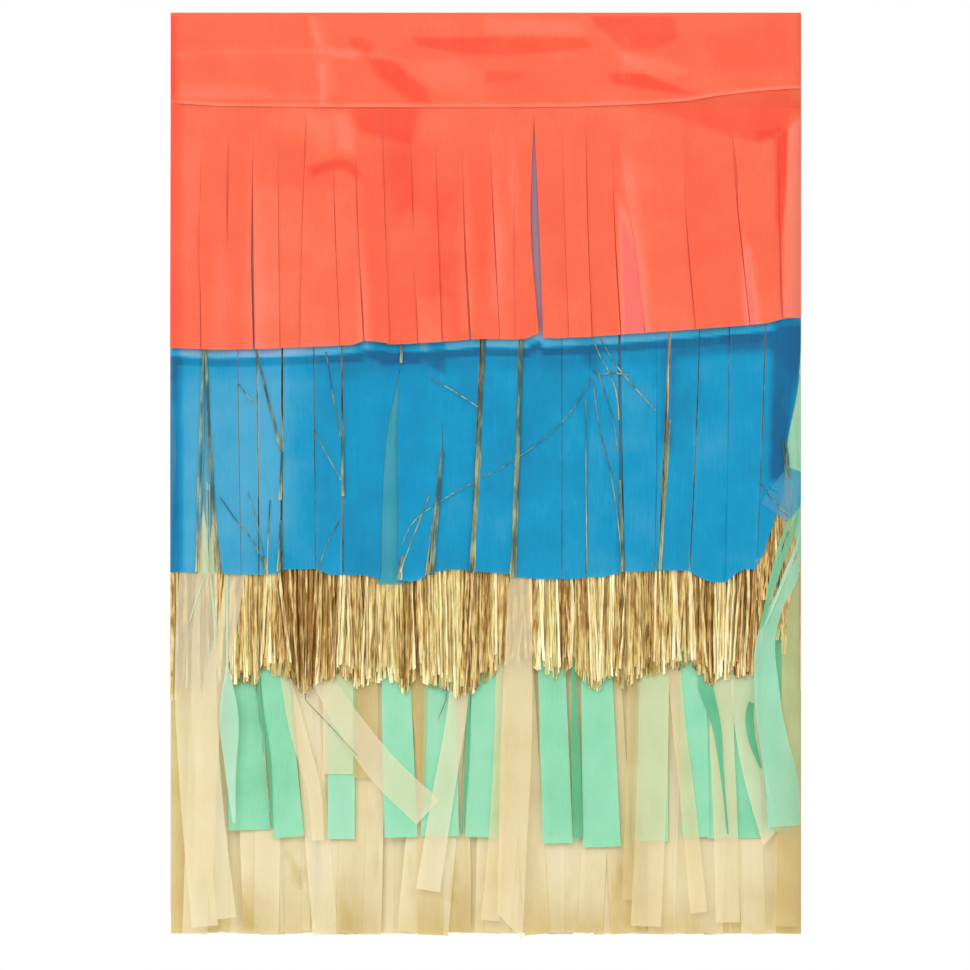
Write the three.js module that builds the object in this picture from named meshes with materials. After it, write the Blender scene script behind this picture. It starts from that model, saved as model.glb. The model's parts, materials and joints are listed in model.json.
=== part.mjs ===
// Fringe garland: a long strip of layered tissue and foil fringe under a folded tissue header
// band, stored folded to and fro in panels, one behind the other.
// Millimetres, +Z up. The front of the stack faces -Y. The origin lies on the back face of the
// rear panel's header band, halfway across and halfway up that band.
import * as THREE from 'three';

// Driving dimensions of the whole garland.
const panelCount = 5;
const stripWidth = 12.5;
const stripCount = 25;
const bandHeight = 47;

// How far each sheet's cut tips hang below the top of the header band.
const coralDrop = 165;
const blueDrop = 279;
const goldDrop = 333;
const mintDrop = 408;
const ivoryDrop = 457;

// Layers: each colour is a loose stack of crinkled plies, so a sheet takes more room than one ply.
const sheetThickness = 0.4;
const sheetGap = 0.4;
const bandThickness = 0.3;
const bandGap = 0.3;
const panelGap = 0.4;
const seamGap = 0.3;

// Every sheet and band stops this far short of the line on which two panels fold together.
const foldAllowance = 1.2;

// Cuts: slits start this far below the header band and open to this width at the tips.
const uncutMargin = 8;
const tissueSlitWidth = 0.8;
const tissueRaggedness = 2.5;

// Foil: locks of fine strands that taper to their tips and end unevenly.
const foilLockCount = 48;
const foilUncutMargin = 4;
const foilSlitWidth = 3.2;
const foilRaggedness = 12;

// Hidden in the band: the hanging tape, with the uncut headings of the sheets below it.
const tapeHeight = 10;
const hiddenGap = 0.3;

// The front panel's sheets are parted at the seam, because they can be lifted one by one.
const liftingPanel = 1;

// Arc steps of the band's rounded top fold.
const foldSteps = 8;

// Worked out from the sizes above.
const panelWidth = stripCount * stripWidth;
const sheetWidth = panelWidth - 2 * foldAllowance;
const layerPitch = sheetThickness + sheetGap;
const bandTop = bandHeight / 2;
const bandBottom = -bandHeight / 2;
const seamZ = bandBottom - seamGap;

const tissueLook = { roughness: 0.85, metalness: 0 };
const foilLook = { roughness: 0.3, metalness: 0.9 };
const tissueCut = {
  count: stripCount,
  slit: tissueSlitWidth,
  uncut: uncutMargin,
  raggedness: tissueRaggedness,
};
const foilCut = {
  count: foilLockCount,
  slit: foilSlitWidth,
  uncut: foilUncutMargin,
  raggedness: foilRaggedness,
};

// The sheets from the front of a panel to its back. The slits of one sheet stand off from those
// of the next by a share of a strip, so that no slit goes through the whole stack.
const sheets = [
  { tint: 'coral', drop: coralDrop, cut: tissueCut, slitShare: 0, color: 0xff6f55, look: tissueLook },
  { tint: 'blue', drop: blueDrop, cut: tissueCut, slitShare: 0.4, color: 0x2e9fc8, look: tissueLook },
  { tint: 'gold', drop: goldDrop, cut: foilCut, slitShare: 0, color: 0xc9a84e, look: foilLook },
  { tint: 'mint', drop: mintDrop, cut: tissueCut, slitShare: -0.35, color: 0x93dcb3, look: tissueLook },
  { tint: 'ivory', drop: ivoryDrop, cut: tissueCut, slitShare: 0.2, color: 0xf0dfb8, look: tissueLook },
];

// Share of the raggedness by which each tip in turn falls short of its sheet's full drop.
const tipShares = [0, 0.55, 0.2, 0.8, 0.35, 0.1, 0.7, 0.45, 1, 0.25, 0.6];

const sheetStackDepth = sheets.length * sheetThickness + (sheets.length - 1) * sheetGap;
const panelDepth = sheetStackDepth + 2 * (bandGap + bandThickness);
const panelPitch = panelDepth + panelGap;
const tapeTop = bandTop - panelDepth / 2;
const headingTop = tapeTop - tapeHeight - hiddenGap;

// Axes for extruding: across the panel's face, and along the garland.
const facingFront = new THREE.Matrix4().makeBasis(
  new THREE.Vector3(1, 0, 0),
  new THREE.Vector3(0, 0, 1),
  new THREE.Vector3(0, -1, 0),
);
const alongPanel = new THREE.Matrix4().makeBasis(
  new THREE.Vector3(0, 1, 0),
  new THREE.Vector3(0, 0, 1),
  new THREE.Vector3(1, 0, 0),
);

function material(color, look) {
  return new THREE.MeshStandardMaterial({ color, ...look });
}

function named(name, geometry, color, look) {
  const mesh = new THREE.Mesh(geometry, material(color, look));
  mesh.name = name;
  return mesh;
}

// A sheet slit from its lower edge into strips. The seam lies at height zero, the heading rises
// above it, and each slit is a narrow wedge that closes at the uncut margin.
function combShape(sheet, rise) {
  const { count, slit, uncut, raggedness } = sheet.cut;
  const pitch = sheetWidth / count;
  const left = -sheetWidth / 2;
  const length = sheet.drop - bandHeight - seamGap;
  const shape = new THREE.Shape();
  shape.moveTo(left, rise);
  for (let strip = 0; strip < count; strip += 1) {
    const first = strip === 0;
    const last = strip === count - 1;
    const fromX = first ? left : left + (strip + sheet.slitShare) * pitch;
    const toX = last ? -left : left + (strip + 1 + sheet.slitShare) * pitch;
    const tip = -length + raggedness * tipShares[strip % tipShares.length];
    shape.lineTo(first ? fromX : fromX + slit / 2, tip);
    shape.lineTo(last ? toX : toX - slit / 2, tip);
    if (!last) {
      shape.lineTo(toX, -uncut);
    }
  }
  shape.lineTo(-left, rise);
  shape.closePath();
  return shape;
}

// Where a sheet's middle lies between the front and the back of its panel.
function layerY(layer) {
  return -sheetStackDepth / 2 + layer * layerPitch + sheetThickness / 2;
}

// One fringe sheet in its layer of the panel, with its heading above the seam if it keeps it.
function fringeSheet(sheet, layer, panelNumber) {
  const rise = panelNumber === liftingPanel ? 0 : headingTop - seamZ;
  const geometry = new THREE.ExtrudeGeometry(combShape(sheet, rise), {
    depth: sheetThickness,
    bevelEnabled: false,
  });
  geometry.applyMatrix4(facingFront);
  const mesh = named(`${sheet.tint}_fringe_${panelNumber}`, geometry, sheet.color, sheet.look);
  mesh.position.set(0, layerY(layer) + sheetThickness / 2, seamZ);
  return mesh;
}

// The heading of a sheet that is parted at the seam: it stays glued inside the band.
function headingSheet(sheet, layer, panelNumber) {
  const height = headingTop - bandBottom;
  const geometry = new THREE.BoxGeometry(sheetWidth, sheetThickness, height);
  const mesh = named(`${sheet.tint}_heading_${panelNumber}`, geometry, sheet.color, sheet.look);
  mesh.position.set(0, layerY(layer), bandBottom + height / 2);
  return mesh;
}

// The band's section: a front flap and a back flap that hang from one round fold.
function bandSection() {
  const outerRadius = panelDepth / 2;
  const innerRadius = outerRadius - bandThickness;
  const foldCentre = bandTop - outerRadius;
  const section = new THREE.Shape();
  section.moveTo(outerRadius, bandBottom);
  section.lineTo(outerRadius, foldCentre);
  section.absarc(0, foldCentre, outerRadius, 0, Math.PI, false);
  section.lineTo(-outerRadius, bandBottom);
  section.lineTo(-innerRadius, bandBottom);
  section.lineTo(-innerRadius, foldCentre);
  section.absarc(0, foldCentre, innerRadius, Math.PI, 0, true);
  section.lineTo(innerRadius, bandBottom);
  section.closePath();
  return section;
}

// A straight length of the given section, centred along the panel.
function lengthOf(section) {
  const geometry = new THREE.ExtrudeGeometry(section, {
    depth: sheetWidth,
    bevelEnabled: false,
    curveSegments: foldSteps,
  });
  geometry.applyMatrix4(alongPanel);
  geometry.translate(-sheetWidth / 2, 0, 0);
  return geometry;
}

function headerBand(panelNumber) {
  return named(`header_band_${panelNumber}`, lengthOf(bandSection()), 0xff6f55, tissueLook);
}

// The tape that carries the weight, folded flat until it is as deep as the stack of sheets.
function hangingTape(panelNumber) {
  const geometry = new THREE.BoxGeometry(sheetWidth, sheetStackDepth, tapeHeight);
  const mesh = named(`hanging_tape_${panelNumber}`, geometry, 0xf4f1e8, tissueLook);
  mesh.position.set(0, 0, tapeTop - tapeHeight / 2);
  return mesh;
}

// One panel, built facing the front and centred on its own depth.
function panelPieces(panelNumber) {
  const pieces = new THREE.Group();
  pieces.add(headerBand(panelNumber), hangingTape(panelNumber));
  sheets.forEach((sheet, layer) => {
    pieces.add(fringeSheet(sheet, layer, panelNumber));
    if (panelNumber === liftingPanel) {
      pieces.add(headingSheet(sheet, layer, panelNumber));
    }
  });
  return pieces;
}

// The folded garland: panel 1 in front, each next panel behind it and turned the other way round.
const garland = new THREE.Group();
for (let panelNumber = 1; panelNumber <= panelCount; panelNumber += 1) {
  const panel = panelPieces(panelNumber);
  const panelsBehind = panelCount - panelNumber;
  const turnedRound = panelNumber % 2 === 0;
  panel.position.set(0, -panelDepth / 2 - panelsBehind * panelPitch, 0);
  panel.rotation.set(0, 0, turnedRound ? Math.PI : 0);
  garland.add(panel);
}

export default garland;
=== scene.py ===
"""Dresses a folded fringe garland: tissue and foil fringe that hangs from a folded header band.

Metres, +Z up. The front of the folded stack faces -Y. Five panels lie one behind the other, and
each next panel is turned the other way round. Places on the front panel are given as columns and
rows of the 970 px photograph, and PhotoScale turns them into metres.
"""

import json
import logging
import math
from collections.abc import Callable
from dataclasses import dataclass, field, replace
from enum import Enum
from functools import reduce

import bpy
import numpy as np
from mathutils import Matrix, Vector, noise


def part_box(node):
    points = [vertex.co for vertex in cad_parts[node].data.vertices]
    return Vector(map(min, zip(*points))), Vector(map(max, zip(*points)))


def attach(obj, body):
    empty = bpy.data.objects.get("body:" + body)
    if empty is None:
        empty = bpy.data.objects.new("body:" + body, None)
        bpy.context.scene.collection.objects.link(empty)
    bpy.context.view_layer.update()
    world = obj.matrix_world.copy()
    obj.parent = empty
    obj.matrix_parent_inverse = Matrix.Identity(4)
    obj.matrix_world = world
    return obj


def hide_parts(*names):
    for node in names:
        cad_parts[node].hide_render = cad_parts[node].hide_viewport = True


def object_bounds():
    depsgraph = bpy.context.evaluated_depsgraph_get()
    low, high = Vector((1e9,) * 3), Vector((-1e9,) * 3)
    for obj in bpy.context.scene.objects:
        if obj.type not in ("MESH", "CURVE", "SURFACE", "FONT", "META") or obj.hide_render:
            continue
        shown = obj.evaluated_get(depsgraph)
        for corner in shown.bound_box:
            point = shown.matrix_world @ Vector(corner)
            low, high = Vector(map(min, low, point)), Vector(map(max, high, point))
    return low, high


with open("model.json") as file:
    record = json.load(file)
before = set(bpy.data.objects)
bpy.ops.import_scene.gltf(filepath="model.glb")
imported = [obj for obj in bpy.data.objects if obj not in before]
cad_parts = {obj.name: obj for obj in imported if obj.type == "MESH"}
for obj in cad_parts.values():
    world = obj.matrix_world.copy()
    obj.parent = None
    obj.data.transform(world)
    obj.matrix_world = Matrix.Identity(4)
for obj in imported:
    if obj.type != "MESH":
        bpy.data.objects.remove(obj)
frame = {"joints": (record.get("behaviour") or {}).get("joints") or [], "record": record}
cad_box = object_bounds()

LOG = logging.getLogger("garland")
MM = 0.001
PANEL_COUNT = 5
FRONT_OPENING = 1.2
TINY = 1e-9

# A number or an array of them, and what can feed a node's input: a value or an output socket.
Numbers = float | np.ndarray
Feed = float | bpy.types.NodeSocket


class Tint(Enum):
    """The five fringe sheets, from the front of a panel to its back."""

    CORAL = "coral"
    BLUE = "blue"
    GOLD = "gold"
    MINT = "mint"
    IVORY = "ivory"


@dataclass(frozen=True)
class PhotoScale:
    """Turns pixels of the photograph into places on the front of the garland."""

    frame_px: float = 970.0
    left_px: float = 170.0
    right_px: float = 802.0
    top_px: float = 12.0
    foot_px: float = 935.0
    half_width: float = 156.25 * MM
    top: float = 23.5 * MM
    foot: float = -433.5 * MM

    @property
    def pixel(self) -> float:
        """Size of one pixel on the garland, in metres."""
        return (self.top - self.foot) / (self.foot_px - self.top_px)

    @property
    def middle_px(self) -> float:
        """Pixel column of the panel's middle."""
        return (self.left_px + self.right_px) / 2

    def across(self, column: Numbers) -> Numbers:
        """Place along X of a pixel column, or of an array of them."""
        half_px = (self.right_px - self.left_px) / 2
        return (np.asarray(column, float) - self.middle_px) / half_px * self.half_width

    def height(self, row: Numbers) -> Numbers:
        """Place along Z of a pixel row, or of an array of them."""
        return self.top - (np.asarray(row, float) - self.top_px) * self.pixel

    def row(self, z: Numbers) -> Numbers:
        """Pixel row of a height, or of an array of them."""
        return self.top_px + (self.top - np.asarray(z, float)) / self.pixel


PHOTO = PhotoScale()
SEAM_ROW = float(PHOTO.row(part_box("coral_fringe_1")[1].z))

# Strips that come this near a fold get so many times the columns, to bend round it smoothly.
FOLD_REACH_PX = 36.0
FOLD_FINENESS = 4


def ease(value: Numbers) -> Numbers:
    """Smooth step from 0 to 1, for a number or an array."""
    t = np.clip(value, 0.0, 1.0)
    return t * t * (3 - 2 * t)


def hermite(first: Numbers, last: Numbers, out: Numbers, into: Numbers, t: Numbers) -> Numbers:
    """Smooth blend of two values with a slope at each.

    Args:
        first: Value at the start.
        last: Value at the end.
        out: Slope at the start.
        into: Slope at the end.
        t: How far along, 0 to 1.

    Returns:
        The value there.
    """
    return (
        first * (1 + 2 * t) * (1 - t) ** 2 + out * t * (1 - t) ** 2
        + last * t * t * (3 - 2 * t) + into * t * t * (t - 1)
    )


def through(stations: tuple, share: Numbers) -> Numbers:
    """Smooth curve through evenly spaced values.

    Args:
        stations: Two or more values from the start to the end.
        share: How far along, 0 to 1, a number or an array.

    Returns:
        The value there.
    """
    values = np.array(stations, float)
    slopes = np.gradient(values)
    t = np.clip(np.asarray(share, float), 0, 1) * (len(values) - 1)
    index = np.minimum(t.astype(int), len(values) - 2)
    ends = values[index], values[index + 1], slopes[index], slopes[index + 1]
    return hermite(*ends, t - index)


def spline(points: tuple, count: int) -> np.ndarray:
    """Smooth curve through a few points.

    Args:
        points: Columns and rows, two or more.
        count: Number of places wanted along it.

    Returns:
        An array of count places, evenly spread along the run of the points.
    """
    knots = np.array(points, float)
    length = np.concatenate([[0], np.cumsum(np.linalg.norm(np.diff(knots, axis=0), axis=1))])
    slopes = np.gradient(knots, length, axis=0)
    wanted = np.linspace(0, length[-1], count)
    index = np.clip(np.searchsorted(length, wanted, side="right") - 1, 0, len(knots) - 2)
    span = (length[index + 1] - length[index])[:, None]
    t = (wanted - length[index])[:, None] / span
    return hermite(knots[index], knots[index + 1], slopes[index] * span, slopes[index + 1] * span, t)


@dataclass(frozen=True)
class Hang:
    """How the whole folded stack hangs: it splays towards the tips, and all layers wave as one.

    seam and lowest are the heights of the seam and of the longest tips. At a free side the layers
    are pinched together by the share pinch, over pinch_reach. At a fold they turn in by
    fold_turn, and the wave calms down over fold_calm. opening_pace and pinch_pace are how many
    times sooner than the whole fall the layers have opened and the pinch has ended.
    """

    seam: float
    lowest: float
    middle_y: float
    splay: float = 0.32
    wave: float = 1.3 * MM
    fold_calm: float = 28 * MM
    pinch_reach: float = 7 * MM
    pinch: float = 0.72
    fold_turn: float = math.radians(82)
    opening_pace: float = 3.3
    pinch_pace: float = 12.0

    def fall(self, z: Numbers) -> Numbers:
        """Share of the way from the seam under the band down to the longest tips."""
        return np.clip((self.seam - z) / (self.seam - self.lowest), 0.0, 1.0)

    def relief(self, x: Numbers, z: Numbers, fall: Numbers) -> Numbers:
        """Shared wave of all layers towards the viewer or away.

        Args:
            x: Places across the panel.
            z: Their heights.
            fall: Their shares of the way down.

        Returns:
            How far each place moves along Y, in metres.
        """
        long_wave = np.sin(x * 34.0 + 0.8 + 2.2 * np.sin(z * 6.0))
        short_wave = np.sin(x * 83.0 - 1.7 + z * 9.0) * 0.38
        slow = np.sin(z * 17.0 + x * 5.0) * 0.5
        return self.wave * fall ** 0.8 * (long_wave + short_wave + slow)


@dataclass
class Panel:
    """One panel of the folded garland: where its layers lie and where it folds.

    layers gives the middle of each sheet along Y, centre the middle of the header band, and
    facing is -1 where the panel's front looks along -Y and 1 where it is turned round. Below the
    seam the layers hang further apart by the share opening.
    """

    number: int
    body: str
    hang: Hang
    layers: dict[Tint, float]
    centre: float
    facing: float
    folds: list = field(default_factory=list)
    opening: float = 0.0

    def settle(self, points: np.ndarray) -> np.ndarray:
        """Brings flat layers to how they lie in the stack.

        Args:
            points: Places on flat layers, one row each.

        Returns:
            The same points splayed, wrapped round the folds, pinched at a free end and waved.
        """
        hang = self.hang
        x, y, z = points[:, 0].copy(), points[:, 1].copy(), points[:, 2]
        fall = hang.fall(z)
        rear = self.layers[Tint.IVORY]
        y = rear + (y - rear) * (1 + self.opening * ease(fall * hang.opening_pace))
        y = hang.middle_y + (y - hang.middle_y) * (1 + hang.splay * fall)
        calm = np.ones_like(x)
        half = PHOTO.half_width
        for side in (-1.0, 1.0):
            fold = next((f for f in self.folds if f[0] * side > 0), None)
            if fold is None:
                near = ease((x * side - (half - hang.pinch_reach)) / hang.pinch_reach)
                y += (self.centre - y) * hang.pinch * near * (1 - ease(fall * hang.pinch_pace))
                continue
            calm *= ease((half - x * side) / hang.fold_calm)
            depth = np.abs(y - fold[1])
            start = half - depth
            angle = np.clip((x * side - start) / np.maximum(depth, TINY), 0, 1) * hang.fold_turn
            turned = x * side > start
            behind = np.sign(y - fold[1])
            x = np.where(turned, side * (start + depth * np.sin(angle)), x)
            y = np.where(turned, fold[1] + behind * depth * np.cos(angle), y)
        y += hang.relief(x, z, fall) * calm
        return np.stack([x, y, z], axis=1)


def apart_from(start: tuple, end: tuple, columns: np.ndarray, rows: np.ndarray) -> np.ndarray:
    """Distance of each place from the straight line between two points.

    Args:
        start: Column and row of one end of the line.
        end: Column and row of its other end.
        columns: Pixel columns of the places.
        rows: Their pixel rows.

    Returns:
        The distances in pixels.
    """
    run_x, run_y = end[0] - start[0], end[1] - start[1]
    away_x, away_y = columns - start[0], rows - start[1]
    share = np.clip((away_x * run_x + away_y * run_y) / (run_x ** 2 + run_y ** 2), 0, 1)
    return np.hypot(away_x - share * run_x, away_y - share * run_y)


@dataclass(frozen=True)
class Shade:
    """A lighter or darker patch with straight sides and soft edges, as columns and rows."""

    corners: tuple
    change: float
    soft: float = 3.0

    def at(self, columns: np.ndarray, rows: np.ndarray) -> np.ndarray:
        """Works out how the patch changes the tone.

        Args:
            columns: Pixel columns of the places.
            rows: Their pixel rows.

        Returns:
            The change of tone at each place.
        """
        nearest = np.full(columns.shape, np.inf)
        inside = np.zeros(columns.shape, bool)
        for start, end in zip(self.corners, self.corners[1:] + self.corners[:1]):
            nearest = np.minimum(nearest, apart_from(start, end, columns, rows))
            (ax, ay), (bx, by) = start, end
            crossing = ax + (bx - ax) * (rows - ay) / ((by - ay) or TINY)
            inside ^= ((ay > rows) != (by > rows)) & (columns < crossing)
        depth = np.where(inside, nearest, -nearest)
        return self.change * ease(0.5 + depth / (2 * self.soft))


def shaded(columns: np.ndarray, rows: np.ndarray, shades: tuple) -> np.ndarray:
    """Sum of all shades at each place."""
    return sum((shade.at(columns, rows) for shade in shades), np.zeros_like(columns, float))


@dataclass(frozen=True)
class Hem:
    """A cut edge, as columns and rows of the photograph."""

    corners: tuple

    def row(self, column: Numbers) -> Numbers:
        """Pixel row of the edge at a column, or at an array of them."""
        return np.interp(column, *zip(*self.corners))


def below(hem: Hem, first: float, last: float, change: float, soft: float = 3.0) -> Shade:
    """A shade along a hem.

    Args:
        hem: The hem.
        first: How far below it the shade begins, in pixels.
        last: How far below it the shade ends.
        change: Change of tone.
        soft: Softness of its edges in pixels.

    Returns:
        The shade.
    """
    upper = tuple((x, y + first) for x, y in hem.corners)
    return Shade(upper + tuple((x, y + last) for x, y in reversed(hem.corners)), change, soft)


@dataclass
class Cloth:
    """Collects the grids of one sheet and makes them one mesh."""

    name: str
    points: list = field(default_factory=list)
    faces: list = field(default_factory=list)
    tones: list = field(default_factory=list)
    count: int = 0

    def add(self, grid: np.ndarray, tone: Numbers) -> None:
        """Adds one grid of points.

        Args:
            grid: Points, rows from the top down by columns from left to right, front to -Y.
            tone: From dark, 0, to pale, 1: one number or one for each point.
        """
        rows, columns = grid.shape[:2]
        self.points.append(grid.reshape(-1, 3))
        self.tones.append(np.broadcast_to(np.asarray(tone, float), (rows, columns)).reshape(-1))
        index = np.arange(rows * columns).reshape(rows, columns) + self.count
        quads = [index[:-1, :-1], index[1:, :-1], index[1:, 1:], index[:-1, 1:]]
        self.faces.append(np.stack(quads, axis=-1).reshape(-1, 4))
        self.count += rows * columns

    def make(self, panel: Panel, flip: bool = False) -> bpy.types.Object:
        """Settles the points in their panel and makes the object.

        Args:
            panel: The panel that the sheet hangs in.
            flip: True where the sheet's front looks along +Y.

        Returns:
            A mesh object at the origin, with a tone for each point.
        """
        points = panel.settle(np.concatenate(self.points))
        faces = np.concatenate(self.faces)
        if flip:
            faces = faces[:, ::-1]
        mesh = bpy.data.meshes.new(self.name)
        mesh.from_pydata(points.tolist(), [], faces.tolist())
        tone = mesh.attributes.new("tone", "FLOAT", "POINT")
        tones = np.clip(np.concatenate(self.tones), 0, 1)
        tone.data.foreach_set("value", tones.astype(np.float32))
        return finished(self.name, mesh)


def finished(name: str, mesh: bpy.types.Mesh) -> bpy.types.Object:
    """Puts a mesh in the scene.

    Args:
        name: Name of the object.
        mesh: Its mesh.

    Returns:
        The object, smooth-shaded and at the origin.
    """
    mesh.update()
    mesh.validate()
    mesh.shade_smooth()
    piece = bpy.data.objects.new(name, mesh)
    bpy.context.scene.collection.objects.link(piece)
    return piece


@dataclass(frozen=True)
class Slit:
    """One cut between two strips of a sheet, or one end of the sheet, in pixels.

    start is the row at which it begins. columns and gaps are its columns and its open widths at
    evenly spaced stations from there down to the hem. A gap below zero lets the strips overlap.
    """

    start: float
    columns: tuple
    gaps: tuple


@dataclass(frozen=True)
class SlitSheet:
    """A sheet cut into strips that stay joined above their slits.

    depths is how far a loose strip may hang behind and before its layer, in millimetres, and
    tones the range of the strips' tones. A strip's cut end follows the hem hem_inset_px inside
    its sides. It comes loose over loosening_px below its slits, and all strips start from one
    tone over seam_fade_px below the seam. alternate, tilt, bow and wave are the shares of the
    depths by which strips hang before one another, turn, arch and waver.
    """

    layer: Tint
    slits: tuple
    hem: Hem
    depths: tuple
    tones: tuple = (0.4, 0.6)
    shades: tuple = ()
    shift: float = 0.0
    rows: int = 60
    columns: int = 8
    seed: int = 1
    hem_inset_px: float = 1.5
    loosening_px: float = 90.0
    seam_fade_px: float = 60.0
    alternate: float = 0.6
    tilt: float = 0.35
    bow: tuple = (-0.1, 0.35)
    wave: float = 0.18

    def tip(self, column: float) -> float:
        """Pixel row of the hem at a column."""
        return float(self.hem.row(column)) + self.shift

    def side(self, slit: Slit, way: float, rows: np.ndarray, tip: float) -> np.ndarray:
        """Columns of one side of a slit.

        Args:
            slit: The slit.
            way: -1 for its left side, 1 for its right side.
            rows: Pixel rows at which to give the side.
            tip: Pixel row of the hem there.

        Returns:
            One column for each row.
        """
        share = (rows - slit.start) / (tip - slit.start)
        return through(slit.columns, share) + way * through(slit.gaps, share) / 2

    def hang_in(self, cloth: Cloth, panel: Panel) -> None:
        """Adds every strip of the sheet to the cloth.

        Args:
            cloth: The cloth that takes the grids.
            panel: The panel that the sheet hangs in.
        """
        rng = np.random.default_rng(self.seed)
        top_row = float(PHOTO.row(panel.hang.seam))
        down = np.linspace(0, 1, self.rows)
        near_tip = down[:, None] ** 4
        back, front = self.depths
        room = front - back
        for number, (left, right) in enumerate(zip(self.slits[:-1], self.slits[1:])):
            at_end = number in (0, len(self.slits) - 2)
            over = np.linspace(0, 1, self.columns * (FOLD_FINENESS if at_end else 1))
            tip = self.tip((left.columns[-1] + right.columns[-1]) / 2)
            left_drop = self.tip(left.columns[-1] + self.hem_inset_px) - tip
            right_drop = self.tip(right.columns[-1] - self.hem_inset_px) - tip
            rows = top_row + (tip - top_row) * down
            from_left, to_right = self.side(left, 1.0, rows, tip), self.side(right, -1.0, rows, tip)
            columns = from_left[:, None] + (to_right - from_left)[:, None] * over
            slope = left_drop * (1 - 2 * over).clip(0) + right_drop * (2 * over - 1).clip(0)
            grid_rows = rows[:, None] + slope[None, :] * near_tip
            loose = ease((rows - left.start) / self.loosening_px)[:, None] * (1 - over)
            loose = loose + ease((rows - right.start) / self.loosening_px)[:, None] * over
            place = (number % 2) * self.alternate + rng.uniform(0.0, 1 - self.alternate)
            tilt = room * rng.uniform(-self.tilt, self.tilt) * (2 * over - 1)
            bow = room * rng.uniform(*self.bow) * (1 - (2 * over - 1) ** 2)
            wave = np.sin(down[:, None] * rng.uniform(5, 13) + rng.uniform(0, 6) + over * 1.5)
            lift = back + room * place + tilt[None, :] + bow[None, :] + room * self.wave * wave
            lift = back + loose * (np.clip(lift, back, front) - back)
            y = panel.layers[self.layer] - lift * MM
            grid = np.stack([PHOTO.across(columns), y, PHOTO.height(grid_rows)], axis=-1)
            near_seam = 1 - ease((rows - top_row) / self.seam_fade_px)[:, None]
            tone = rng.uniform(*self.tones)
            tone = tone + (0.5 - tone) * near_seam + shaded(columns, grid_rows, self.shades)
            cloth.add(grid, tone)


@dataclass(frozen=True)
class Strip:
    """One loose strip, given by the photograph.

    spine holds columns and rows of its middle from the head down. widths in pixels, forward in
    millimetres before its layer, and fades, the change of tone, are given at evenly spaced
    stations from head to foot. foot_cut is how much longer its left side is than its right, as a
    share of its width.

    A strip whose head lies shortest_lead_px or more below the seam gets a lead that comes down
    to it behind the sheets in front, from root pixels to the right of the head. The lead stays
    between lead_depths, and comes forward only near the head. Where root is None there is none.
    At the panel's sides a strip is narrowed, but never to less than least_width.
    """

    spine: tuple
    widths: tuple = (25.0, 25.0)
    forward: tuple = (0.4, 0.4)
    foot_cut: float = 0.0
    tone: float = 0.5
    fades: tuple = (0.0, 0.0)
    root: float | None = 0.0
    shortest_lead_px: float = 4.0
    lead_rows: int = 12
    lead_depths: tuple = (-0.4, 0.42)
    least_width: float = 0.6 * MM

    def course(self, rows: int) -> tuple:
        """Runs down the strip, and down its lead if it has one.

        Args:
            rows: Number of places along the strip itself.

        Returns:
            Columns and rows of the places, then at each its width in pixels, how far forward it
            lies, its change of tone, and the share of the strip that is behind it.
        """
        down = np.linspace(0, 1, rows)
        spine = spline(self.spine, rows)
        values = [through(v, down) for v in (self.widths, self.forward, self.fades)]
        head_column, head_row = spine[0]
        if self.root is None or head_row - SEAM_ROW < self.shortest_lead_px:
            return (spine, *values, down)
        s = np.linspace(0, 1, self.lead_rows + 1)[:-1]
        lead = np.stack([head_column + self.root * (1 - s), SEAM_ROW + (head_row - SEAM_ROW) * s], 1)
        leads = [np.full_like(s, value[0]) for value in values]
        flush = float(np.clip(self.forward[0], *self.lead_depths))
        leads[1] = flush + (self.forward[0] - flush) * s ** 4
        joined = [np.concatenate(pair) for pair in zip(leads, values)]
        return (np.concatenate([lead, spine]), *joined, np.concatenate([0 * s, down]))

    @property
    def size(self) -> tuple:
        """Measures the strip together with its lead.

        Returns:
            Its mean width and its length, in metres.
        """
        spine, widths, *_ = self.course(rows=30)
        steps = np.linalg.norm(np.diff(spine, axis=0), axis=1)
        length = steps.sum()
        width = (steps * (widths[:-1] + widths[1:]) / 2).sum() / length
        return float(width * PHOTO.pixel), float(length * PHOTO.pixel)

    def hang_in(self, cloth: Cloth, y: float, rows: int = 40, columns: int = 5,
                shades: tuple = ()) -> None:
        """Adds the strip to a cloth.

        Args:
            cloth: The cloth that takes the grid.
            y: Middle of its layer along Y.
            rows: Points along the strip.
            columns: Points across it, where it isn't near a fold.
            shades: Lighter and darker patches on it.
        """
        spine, widths, forward, fades, down = self.course(rows)
        outermost = np.abs(spine[:, 0] - PHOTO.middle_px).max()
        if outermost > PHOTO.middle_px - PHOTO.left_px - FOLD_REACH_PX:
            columns *= FOLD_FINENESS
        x, z, width = PHOTO.across(spine[:, 0]), PHOTO.height(spine[:, 1]), widths * PHOTO.pixel
        least = np.minimum(width, self.least_width)
        left = np.clip(x - width / 2, -PHOTO.half_width, PHOTO.half_width - least)
        right = np.clip(x + width / 2, left + least, PHOTO.half_width)
        x, width = (left + right) / 2, right - left
        along = np.stack([np.gradient(x), np.gradient(z)], axis=1)
        along /= np.maximum(np.linalg.norm(along, axis=1), TINY)[:, None]
        over = np.linspace(-0.5, 0.5, columns)
        reach = width[:, None] * over[None, :]
        near_foot = down[:, None] ** 8
        slide = -self.foot_cut * reach * near_foot
        grid = np.stack([
            x[:, None] - along[:, 1:2] * reach + along[:, 0:1] * slide,
            np.broadcast_to(y - forward[:, None] * MM, reach.shape),
            z[:, None] + along[:, 0:1] * reach + along[:, 1:2] * slide,
        ], axis=-1)
        places = spine[:, 0][:, None] + widths[:, None] * over, spine[:, 1][:, None] + 0 * over
        cloth.add(grid, self.tone + fades[:, None] + shaded(*places, shades))


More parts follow.
